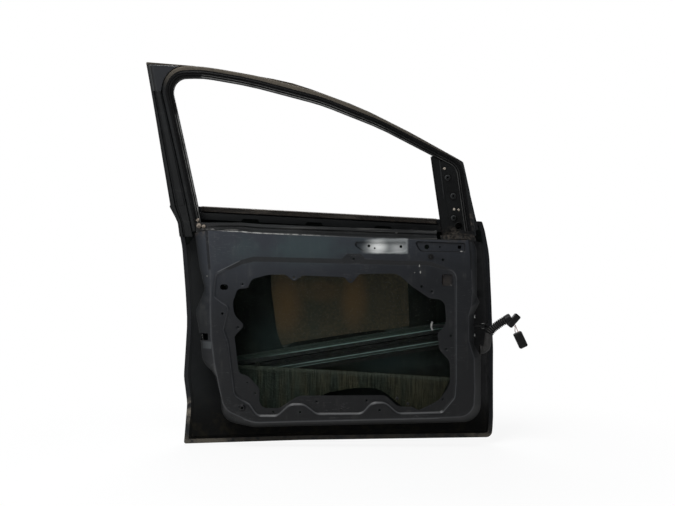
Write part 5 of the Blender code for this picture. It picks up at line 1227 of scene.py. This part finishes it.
class DoorSizes(bpy.types.PropertyGroup):
    """Sizes that a user may change."""

    edge_break: FloatProperty(name="Edge break", description="Width of the rounded edge on folded strips",
                              default=0.0009, min=0.0001, max=0.003, unit="LENGTH")
    boot_folds: IntProperty(name="Boot folds", description="Number of folds in the harness boot",
                            default=10, min=4, max=20)
    boot_ridge: FloatProperty(name="Fold height", description="How far each fold stands out of the boot",
                              default=0.0042, min=0.0005, max=0.006, unit="LENGTH")


def swatch(name, description, default):
    """A colour that a user may change."""
    return FloatVectorProperty(
        name=name, description=description, subtype="COLOR", size=3, default=default, min=0.0, max=1.0)


class DoorColours(bpy.types.PropertyGroup):
    """Colours of the finishes."""

    panel: swatch("Panel paint", "Inner panel and skin", (0.0062, 0.0071, 0.0090))
    frame: swatch("Frame paint", "Window frame and strips", (0.0046, 0.0052, 0.0055))
    sash: swatch("Sash film", "Outer sash of the window frame", (0.072, 0.062, 0.048))
    rubber: swatch("Seal rubber", "Window run", (0.0020, 0.0021, 0.0023))
    belt: swatch("Belt strip", "Weathered outer belt strip", (0.017, 0.012, 0.0075))
    boot: swatch("Boot rubber", "Harness boot", (0.024, 0.0232, 0.0225))
    plastic: swatch("Plastic", "Collar, connectors and check housing", (0.0030, 0.0029, 0.0027))
    wire: swatch("Wire cover", "Two loose wires", (0.20, 0.040, 0.010))
    steel: swatch("Plated steel", "Bolts, stops and guides", (0.40, 0.40, 0.39))
    dust: swatch("Dust", "Dry dust on paint and rubber", (0.115, 0.112, 0.100))


def smooth_route(points, step):
    """Points along a smooth curve through a route's own points."""
    route = [Vector(p) for p in points]
    ends = [route[0] * 2 - route[1], *route, route[-1] * 2 - route[-2]]
    result = []
    for i in range(1, len(ends) - 2):
        a, b, c, d = ends[i - 1:i + 3]
        parts = max(1, round((c - b).length / step))
        for k in range(parts):
            t = k / parts
            result.append(0.5 * (2 * b + (c - a) * t + (2 * a - 5 * b + 4 * c - d) * t * t
                                 + (3 * b - a - 3 * c + d) * t ** 3))
    result.append(route[-1])
    return result


def on_block(centre, tilt, x, y, z):
    """The place of a point given in a tilted block's own directions."""
    turn = math.radians(tilt)
    return Vector(centre) + Vector((x * math.cos(turn) + z * math.sin(turn), y,
                                    z * math.cos(turn) - x * math.sin(turn)))


def lead_route(along, depth, across_small, depth_small):
    """A wire's own points, from the main connector's front face to the small one's top."""
    face, top = CONNECTOR_SIZE[0] / 2 + GAP, SMALL_SIZE[2] / 2 + GAP
    return [
        on_block(CONNECTOR, CONNECTOR_TILT, face, depth, along),
        on_block(CONNECTOR, CONNECTOR_TILT, face + 5.0, depth, along),
        on_block(SMALL_CONNECTOR, SMALL_TILT, across_small, depth_small, top + 5.0),
        on_block(SMALL_CONNECTOR, SMALL_TILT, across_small, depth_small, top),
    ]


class StageOperator(bpy.types.Operator):
    """Set the camera, the soft lamps and the pale floor"""
    bl_idname = "door.stage"
    bl_label = "Stage"

    def execute(self, context):
        scene = context.scene
        scene.view_settings.view_transform = "Standard"
        lens = bpy.data.cameras.new("camera")
        lens.lens, lens.sensor_width = 55.0, 36.0
        camera = linked("camera", lens)
        camera.location = CAMERA
        camera.rotation_euler = (math.radians(90.0), 0.0, 0.0)
        scene.camera = camera
        for name, place, size, power, aim in LAMPS:
            lamp = bpy.data.lights.new(name, "AREA")
            lamp.shape, lamp.size, lamp.energy = "DISK", size, power
            obj = linked(name, lamp)
            obj.location = place
            obj.rotation_euler = (Vector(aim) - Vector(place)).to_track_quat("-Z", "Y").to_euler()
        world = bpy.data.worlds.new("soft_room")
        scene.world = world
        world.use_nodes = True
        sky = Tree(world.node_tree)
        room, white = (sky.node("ShaderNodeBackground", {}, {"Color": colour, "Strength": strength})
                       for colour, strength in ((ROOM, ROOM_STRENGTH), (WHITE, 1.0)))
        sky.node("ShaderNodeOutputWorld", {}, {0: sky.blended(sky.seen(), room, white).outputs[0]})
        corners = [(x, y, FLOOR_Z) for x, y in ((-7000, -7000), (7000, -7000), (7000, 9000), (-7000, 9000))]
        floor = solid("floor", corners, [(0, 1, 2, 3)])
        floor.data.materials.append(floor_paint())
        return {"FINISHED"}


def floor_paint():
    """Plain pale floor that the camera sees as near white, with the door's shadow kept."""
    f = Finish("floor_pale")
    seen = f.seen()
    far = ((f.x - DOOR_MIDDLE) * (f.x - DOOR_MIDDLE) + f.y * f.y) ** 0.5
    plain = f.shader((0.86, 0.86, 0.86), 0.9)
    glow = f.node("ShaderNodeEmission", {}, {"Color": WHITE, "Strength": 1.0})
    return f.done(f.blended(seen * (f.ramp(far, 0.6, 1.4) * 0.14 + 0.86), plain, glow))


def drawn_curve(name, points):
    """A curve object with one open run of straight pieces through drawing points."""
    curve = bpy.data.curves.new(name, "CURVE")
    curve.dimensions = "3D"
    spline = curve.splines.new("POLY")
    spline.points.add(len(points) - 1)
    for spot, p in zip(spline.points, points):
        spot.co = (*place_of(p), 1.0)
    return linked(name, curve)


def run_length(points):
    return sum((b - a).length for a, b in zip(points, points[1:]))


class LeadsOperator(bpy.types.Operator):
    """Lay the two short loose wires and the small connector on their end"""
    bl_idname = "door.leads"
    bl_label = "Lead Wires"

    def execute(self, context):
        small = redone("small_connector", 0.5, grey_plastic())
        for k, ends in enumerate(LEAD_ENDS):
            points = smooth_route(lead_route(*ends), 3.0)
            wire = drawn_curve(f"loose_wire_{k + 1}", points)
            wire.data.bevel_depth = LEAD_R * MM
            wire.data.bevel_resolution = 4
            wire.data.use_fill_caps = True
            dressed(wire, wire_cover(), nodes=[f"lead_wire_{k + 1}"])
        return {"FINISHED"}


class PanelOperator(bpy.types.Operator):
    """Press the inner panel"""
    bl_idname = "door.inner_panel"
    bl_label = "Inner Panel"

    def execute(self, context):
        dressed(panel_sheet(), panel_paint(), nodes=["inner_panel"])
        return {"FINISHED"}


class SkinOperator(bpy.types.Operator):
    """Form the outer skin with its folded hem and handle dish"""
    bl_idname = "door.outer_skin"
    bl_label = "Outer Skin"

    def execute(self, context):
        skin = skin_sheet()
        for paint in (outer_paint(), cavity_paint(), hem_paint()):
            skin.data.materials.append(paint)
        for x, z, radius in HANDLE_HOLES:
            drilled(skin, (x, -30.0, z), radius, 80, (0, 1, 0))
        smoothed(skin, sharp=34.0)
        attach(skin, "door_shell")
        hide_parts("outer_skin")
        return {"FINISHED"}


class FrameOperator(bpy.types.Operator):
    """Roll the window frame, its sash, the rear pillar with its cover and the corner gusset"""
    bl_idname = "door.window_frame"
    bl_label = "Window Frame"

    def execute(self, context):
        path = run_path()
        outline = rounded(FRAME_OUTLINE, closed=False)
        widths = [min(FRAME_WIDE, reach(p, n, outline) - SASH_EDGE) for p, n in zip(path, normals(path, False))]
        # The section up to its step keeps its width; beyond the step it is squeezed to the room that there is
        step, full = 20.6, 40
        inner, back, floor, web = SASH_IN + 1.5 + GAP, FRAME_FACE, 18.0, RUN_LEG_IN - 1.5
        profile = [
            (4, inner), (full, inner), (full, 30), (38, 43), (33, back), (step, back), (step, RUN_LEG_IN),
            (4, RUN_LEG_IN), (4, web), (floor, web), (floor, inner + 1.5), (4, inner + 1.5),
        ]

        def place(point, normal, spot, i):
            wide = spot[0] if spot[0] <= step else step + (spot[0] - step) * (widths[i] - step) / (full - step)
            return frame_place(point, normal, (wide, spot[1]), i)

        header = smoothed(sweep("frame_section", path, profile, place), sizes().edge_break / MM)
        dressed(header, frame_paint(), nodes=["window_frame"])
        loop = outline + moved_out(run_path(), 2.0, closed=False)[::-1]
        sash = pressing("sash_flange", side_ring(loop, SASH_IN + 1.5), [], [], 1.5)
        dressed(smoothed(sash, 0.4), sash_paint(), nodes=["frame_sash"])
        redone("rear_pillar", 1.0, frame_paint(), 3)
        redone("pillar_cover", 1.0, frame_paint(), 3)
        redone("frame_corner_gusset", 0.5, gusset_paint())
        return {"FINISHED"}


class RunSealOperator(bpy.types.Operator):
    """Fit the rubber run with its moulded corner"""
    bl_idname = "door.run_seal"
    bl_label = "Window Run"

    def execute(self, context):
        inner, leg = SASH_IN + 3.0 + 2 * GAP, RUN_LEG_IN
        profile = [
            (17.7, leg - 1.8), (17.7, inner), (3, inner), (-1, 21), (2, 24), (13, 22.5), (13, 34), (1, 35),
            (-3, 40), (-2.4, 47), (-1.2, 49.6), (0.6, 50.6), (2.2, 50.2), (3.2, 48.2), (4.8, 48.0), (6.0, 50.4),
            (7.6, 51.1), (9.2, 50.5), (10.2, 48.0), (12.0, 47.9), (13.0, 49.8), (14.4, 50.3), (15.8, 49.4),
            (16.6, 48.0), (20.2, 48.2), (20.2, leg + GAP), (3.7, leg + GAP), (3.7, leg - 1.8),
        ]
        # How strong the painted highlight is on each rib's top; the moulded corner is marked below 0
        rib_glint = {(-1.2, 49.6): 0.8, (0.6, 50.6): 1.0, (6.0, 50.4): 0.9, (7.6, 51.1): 0.4, (14.4, 50.3): 0.5}
        path = run_path()
        worn = []
        for point in path:
            moulded = (point - Vector(SEAL_CORNER)).length < SEAL_CORNER_R
            worn.extend(-1.0 if moulded and spot[0] < 9.0 else rib_glint.get(spot, 0.0) for spot in profile)
        seal = sweep("window_run", path, profile, frame_place, worn=worn)
        seal.data.shade_smooth()
        seal.data.set_sharp_from_angle(angle=math.radians(50.0))
        dressed(seal, seal_rubber(), nodes=["glass_run_seal"])
        return {"FINISHED"}


def bar_x(z):
    """X of the divider bar's rear edge at a height."""
    (x0, z0), (x1, z1) = BAR_HEAD, BAR_FOOT
    return x0 + (x1 - x0) * (z0 - z) / (z0 - z1)


def corner_lip(shift, past_bar, foot):
    """The part of the window's lip line in the mirror corner, moved outwards."""
    path = moved_out(run_path(longest=12.0), shift, closed=False)
    return [p for p in path if p.x > bar_x(p.y) + past_bar and p.x > CORNER_REAR_X and p.y > foot]


def mirror_plate():
    """The stamped plate of the mirror corner with rounded bosses, sloped down to the inner panel."""
    lip = corner_lip(-2.0, BAR_WIDE - 1.0, 0.0)
    foot, after = lip[0], lip[1]
    crease = foot.lerp(after, (MIRROR_RAMP - foot.y) / (after.y - foot.y))
    lip = [Vector((foot.x - 1.5, MIRROR_FOOT)), crease] + [p for p in lip if p.y > MIRROR_RAMP + 4.0]
    top = lip[-1].y
    levels = [top - 4.0 - 14.0 * k for k in range(int((top - MIRROR_RAMP - 8.0) / 14.0))] + [MIRROR_RAMP, MIRROR_FOOT]
    near = [Vector((bar_x(z) + BAR_WIDE - 0.6, z)) for z in levels]
    loop = lip + near
    foot_y = -FACE + 6.5

    def height(p):
        return foot_y if p.y <= MIRROR_FOOT + 0.01 else side(p.y) - PLATE_IN

    contours = [side_ring([near[-2], crease], PLATE_IN, False)]
    holes = []
    for x, z in MIRROR_BOSSES:
        for wide, high in ((1.0, 0.0), (0.93, 0.6), (0.86, 2.6), (0.78, 5.2), (0.70, MIRROR_BOSS_HIGH)):
            contours.append(side_ring(circle(x, z, MIRROR_BOSS_R * wide, 28), PLATE_IN + high))
        holes.append(side_ring(circle(x, z, SCREW_R, 16), PLATE_IN + MIRROR_BOSS_HIGH))
    x, z, radius = MIRROR_HOLE
    for wide, high in ((1.22, 0.0), (1.12, 1.2)):
        contours.append(side_ring(circle(x, z, radius * wide, 32), PLATE_IN + high))
    holes.append(side_ring(circle(x, z, radius, 32), PLATE_IN + 1.5))
    sheet = pressing("mirror_corner_plate", (loop, lifted(loop, height), True), contours, holes, 1.5)
    return smoothed(sheet, sharp=36.0)


def corner_web():
    """The dark web behind the plate that closes the mirror corner against the frame and the bar."""
    lip = corner_lip(3.0, 3.0, WEB_FOOT)
    near = [Vector((bar_x(z) + 4.0, z)) for z in (lip[-1].y - 2.0, WEB_FOOT)]
    return smoothed(pressing("mirror_corner_web", side_ring(lip + near, 36.0), [], [], 1.0))


def pillar_foot():
    """The crumpled foot of the front pillar, brazed down onto the inner panel."""
    corners = [(-112, 139, 2), (-4, 139, 2), (-9, 172, 3), (-40, 176, 3), (-100, 158, 4), (-116, 158, 3)]
    loop = rounded(corners, longest=9.0)
    low, high = -FACE + 7.5, side(172.0) - RUN_LEG_IN + 2.0

    def height(p):
        share = min(1.0, max(0.0, (p.y - 140.0) / 34.0))
        return low + (high - low) * share + 1.2 * math.sin(p.x * 0.35) * math.sin(p.y * 0.5)

    spots = grid(loop, 5.0, 2.5)
    plate = pressing("pillar_foot_plate", (loop, lifted(loop, height), True), [], [], 1.0,
                     zip(spots, lifted(spots, height)))
    return smoothed(plate, sharp=60.0)


class MirrorOperator(bpy.types.Operator):
    """Fit the mirror corner's plate, its divider bar and its rivets"""
    bl_idname = "door.mirror_corner"
    bl_label = "Mirror Corner"

    def execute(self, context):
        for plate, nodes in ((mirror_plate(), ["mirror_bracket"]), (corner_web(), ()), (pillar_foot(), ())):
            dressed(plate, bracket_paint(), nodes=nodes)
        redone("divider_bar", 0.8, bracket_paint())
        rivets = rivet_row([(x, side(z) - PLATE_IN - 2 * GAP, z) for x, z in MIRROR_RIVETS])
        dressed(rivets, braze(), nodes=["mirror_rivet_1", "mirror_rivet_2", "mirror_rivet_3"])
        return {"FINISHED"}


class Form(Tree):
    """A geometry node tree in the making, with number inputs that hold these values."""

    def __init__(self, name, values):
        super().__init__(bpy.data.node_groups.new(name, "GeometryNodeTree"))
        self.values = values
        for in_out in ("INPUT", "OUTPUT"):
            self.tree.interface.new_socket("Geometry", in_out=in_out, socket_type="NodeSocketGeometry")
        for label, value in values.items():
            socket = self.tree.interface.new_socket(label, in_out="INPUT", socket_type="NodeSocketFloat")
            socket.default_value = value
        given = self.node("NodeGroupInput").outputs
        self.start = given["Geometry"]
        self.levels = [Level(self, given[label]) for label in values]

    def grown_from(self, obj, shape, paint):
        """End the tree with a shape in its material, run it on an object and keep the plain mesh."""
        real = self.node("GeometryNodeRealizeInstances", {}, {0: shape})
        painted = self.node("GeometryNodeSetMaterial", {}, {"Geometry": real.outputs[0], "Material": paint})
        self.node("NodeGroupOutput", {}, {0: painted.outputs[0]})
        step = obj.modifiers.new("nodes", "NODES")
        step.node_group = self.tree
        for item in self.tree.interface.items_tree:
            if item.in_out == "INPUT" and item.name in self.values:
                step[item.identifier] = self.values[item.name]
        data, name = plain_mesh(obj), obj.name
        bpy.data.objects.remove(obj)
        with Edited(data) as bm:
            bmesh.ops.remove_doubles(bm, verts=bm.verts, dist=1e-6)
            bmesh.ops.recalc_face_normals(bm, faces=bm.faces)
        data.shade_smooth()
        return linked(name, data)


def rivet_row(spots):
    """Domed rivet heads on a few points, set by a node tree."""
    data = bpy.data.meshes.new("rivet_heads")
    data.from_pydata([place_of(p) for p in spots], [], [])
    form = Form("rivets", {"Radius": RIVET_R * MM, "Height": RIVET_HIGH * MM})
    radius, height = form.levels
    ball = form.node("GeometryNodeMeshUVSphere", {}, {"Segments": 20, "Rings": 12, "Radius": radius})
    scale = form.node("ShaderNodeCombineXYZ", {}, {0: 1.0, 1: height / radius, 2: 1.0})
    cloud = form.node("GeometryNodeMeshToPoints", {}, {"Mesh": form.start})
    heads = form.node("GeometryNodeInstanceOnPoints", {}, {
        "Points": cloud.outputs[0], "Instance": ball.outputs[0], "Scale": scale.outputs[0]})
    return form.grown_from(linked("rivet_heads", data), heads.outputs[0], braze())


class BeltOperator(bpy.types.Operator):
    """Lay the belt strips and reinforcements"""
    bl_idname = "door.belt"
    bl_label = "Belt Line"

    def execute(self, context):
        redone("outer_belt_strip", 0.8, belt_rubber(), 3)
        redone("outer_belt_reinforcement", 0.4, frame_paint())
        redone("inner_belt_reinforcement", 0.4, rail_paint())
        return {"FINISHED"}


class CavityOperator(bpy.types.Operator):
    """Finish what stands inside the door: side beam, damping sheet, guides, stops and plates"""
    bl_idname = "door.cavity"
    bl_label = "Door Cavity"

    def execute(self, context):
        redone("intrusion_beam", 1.6, beam_paint(), 3, 20.0)
        redone("damping_pad", 0.5, pad_sheet())
        for node in ("rear_glass_channel", "front_glass_channel", "lock_reinforcement", "upper_hinge_plate",
                     "lower_hinge_plate"):
            redone(node, 0.3, bare_steel())
        for node in ("glass_stop_front", "glass_stop_rear"):
            redone(node, 0.8, seal_rubber())
        return {"FINISHED"}


class GlassOperator(bpy.types.Operator):
    """Stand the lowered pane on its stops"""
    bl_idname = "door.glass"
    bl_label = "Glass"

    def execute(self, context):
        outline = rounded(GLASS_OUTLINE)
        depth = GLASS_IN + GLASS_THICK / 2
        spots = grid(outline, 48.0, 18.0)
        glass = pressing("lowered_pane", side_ring(outline, depth), [], [], GLASS_THICK,
                         zip(*side_ring(spots, depth)[:2]))
        dressed(smoothed(glass, 1.0, sharp=40.0), pane(), nodes=["window_glass"])
        return {"FINISHED"}


class CheckOperator(bpy.types.Operator):
    """Finish the door check: housing, bolts, arm, stop, pin and bracket"""
    bl_idname = "door.check"
    bl_label = "Door Check"

    def execute(self, context):
        redone("check_box", 0.8, grey_plastic())
        for node in ("check_bolt_upper", "check_bolt_lower"):
            redone(node, 0.5, bare_steel())
        redone("check_arm", 0.9, frame_paint(), body="check_arm")
        redone("check_stop", 0.5, bare_steel(), body="check_arm")
        redone("check_bracket", 0.6, frame_paint(), body="check_bracket")
        redone("check_pin", 0.4, bare_steel(), body="check_bracket")
        return {"FINISHED"}


class BootOperator(bpy.types.Operator):
    """Fold the harness boot along its route, with its collar and main connector"""
    bl_idname = "door.boot"
    bl_label = "Harness Boot"

    def execute(self, context):
        neck, folded = smooth_route(BOOT_ROUTE[:5], 2.0), smooth_route(BOOT_ROUTE[4:], 1.0)
        smooth_share = run_length(neck) / (run_length(neck) + run_length(folded))
        form = Form("boot_folds", {"Radius": BOOT_R * MM, "Ridge": sizes().boot_ridge,
                                   "Folds": float(sizes().boot_folds), "Start": smooth_share})
        radius, height, folds, start = form.levels
        even = form.node("GeometryNodeResampleCurve", {}, {"Curve": form.start, "Count": 420})
        along = form.node("GeometryNodeSplineParameter")
        share = (Level(form, along.outputs["Factor"]) - start) / (1.0 - start)
        is_folded = share > 0.0
        groove = abs((share * folds).remainder() * 2.0 - 1.0) ** 2.5 * is_folded
        ridge = (0.45 - groove) * height * is_folded
        cuff = (Level(form, along.outputs["Length"]) < 0.003) * 0.006
        # the folds' depth is kept on the mesh for the painted shade in them
        kept = form.node("GeometryNodeStoreNamedAttribute", {"data_type": "FLOAT", "domain": "POINT"}, {
            "Geometry": even.outputs[0], "Name": "groove", "Value": groove})
        thick = form.node("GeometryNodeSetCurveRadius", {}, {
            "Curve": kept.outputs[0], "Radius": radius + (ridge + cuff)})
        ring = form.node("GeometryNodeCurvePrimitiveCircle", {"mode": "RADIUS"}, {"Resolution": 32, "Radius": 1.0})
        tube = form.node("GeometryNodeCurveToMesh", {}, {
            "Curve": thick.outputs[0], "Profile Curve": ring.outputs[0], "Fill Caps": True})
        if "Scale" in tube.inputs:
            form.tree.links.new(form.node("GeometryNodeInputRadius").outputs[0], tube.inputs["Scale"])
        boot = form.grown_from(drawn_curve("folded_boot", neck + folded[1:]), tube.outputs[0], boot_rubber())
        boot.data.set_sharp_from_angle(angle=math.radians(60.0))
        dressed(boot, boot_rubber(), nodes=["harness_boot"])
        redone("boot_collar", 0.8, grey_plastic(), 3)
        redone("main_connector", 0.6, grey_plastic())
        return {"FINISHED"}


class SmallPartsOperator(bpy.types.Operator):
    """Add the harness clip, three plugs and the braze lumps at the belt's rear end"""
    bl_idname = "door.small_parts"
    bl_label = "Small Parts"

    def execute(self, context):
        redone("harness_clip", 0.3, grey_plastic())
        to_cabin = (0, -1, 0)
        plug = turned("face_plug", [(0, 6.0), (2.2, 7.6), (3.0, 7.2), (3.4, 5.0)], (-147, -FACE + 1.2, 90), to_cabin)
        cross = block("plug_cross", (-153, -FACE - 3.4, 88.6), (-141, -FACE - 1.6, 91.4))
        dressed(smoothed(plug), grey_plastic())
        dressed(smoothed(cross, 0.4), seal_rubber())
        for x, z, radius in ((-218, -369, 4.4), (-252, -352, 5.0)):
            rows = [(0, radius - 1.0), (2.4, radius), (3.4, radius - 0.8), (3.8, radius - 2.6)]
            cap = turned("field_plug", rows, (x, FIELD_Y + 0.6, z), to_cabin)
            dressed(smoothed(cap), frame_paint())
        for x, z, radius in ((-878, 206, 6.5), (-873, 188, 8.5), (-858, 185, 6.5)):
            rows = [(0, radius), (2.5, radius * 0.96), (4.5, radius * 0.75), (5.8, radius * 0.45), (6.2, radius * 0.12)]
            base = side(z) - PLATE_IN if z > RAIL_TOP else RAIL_FACE
            lump = turned("braze_lump", rows, (x, base, z), to_cabin)
            dressed(smoothed(lump, sharp=60.0), lump_metal())
        return {"FINISHED"}


class DoorPanel(bpy.types.Panel):
    """Buttons that build the door piece by piece"""
    bl_idname = "VIEW3D_PT_door_shell"
    bl_label = "Door Shell"
    bl_space_type = "VIEW_3D"
    bl_region_type = "UI"
    bl_category = "Door Shell"

    def draw(self, context):
        layout = self.layout
        for group in (context.scene.door_sizes, context.scene.door_colours):
            box = layout.box()
            for key in group.__annotations__:
                box.prop(group, key)
        for step in STEPS:
            layout.operator(step.bl_idname)


STEPS = (
    StageOperator, LeadsOperator, PanelOperator, SkinOperator, FrameOperator, RunSealOperator, MirrorOperator,
    BeltOperator, CavityOperator, GlassOperator, CheckOperator, BootOperator, SmallPartsOperator,
)
CLASSES = (DoorSizes, DoorColours, *STEPS, DoorPanel)


def register():
    for cls in CLASSES:
        bpy.utils.register_class(cls)
    bpy.types.Scene.door_sizes = PointerProperty(type=DoorSizes)
    bpy.types.Scene.door_colours = PointerProperty(type=DoorColours)


def unregister():
    del bpy.types.Scene.door_sizes
    del bpy.types.Scene.door_colours
    for cls in reversed(CLASSES):
        bpy.utils.unregister_class(cls)


def main():
    register()
    for step in STEPS:
        group, name = step.bl_idname.split(".")
        if getattr(getattr(bpy.ops, group), name)() != {"FINISHED"}:
            raise RuntimeError(step.bl_idname + " did not finish")


if __name__ == "__main__":
    main()
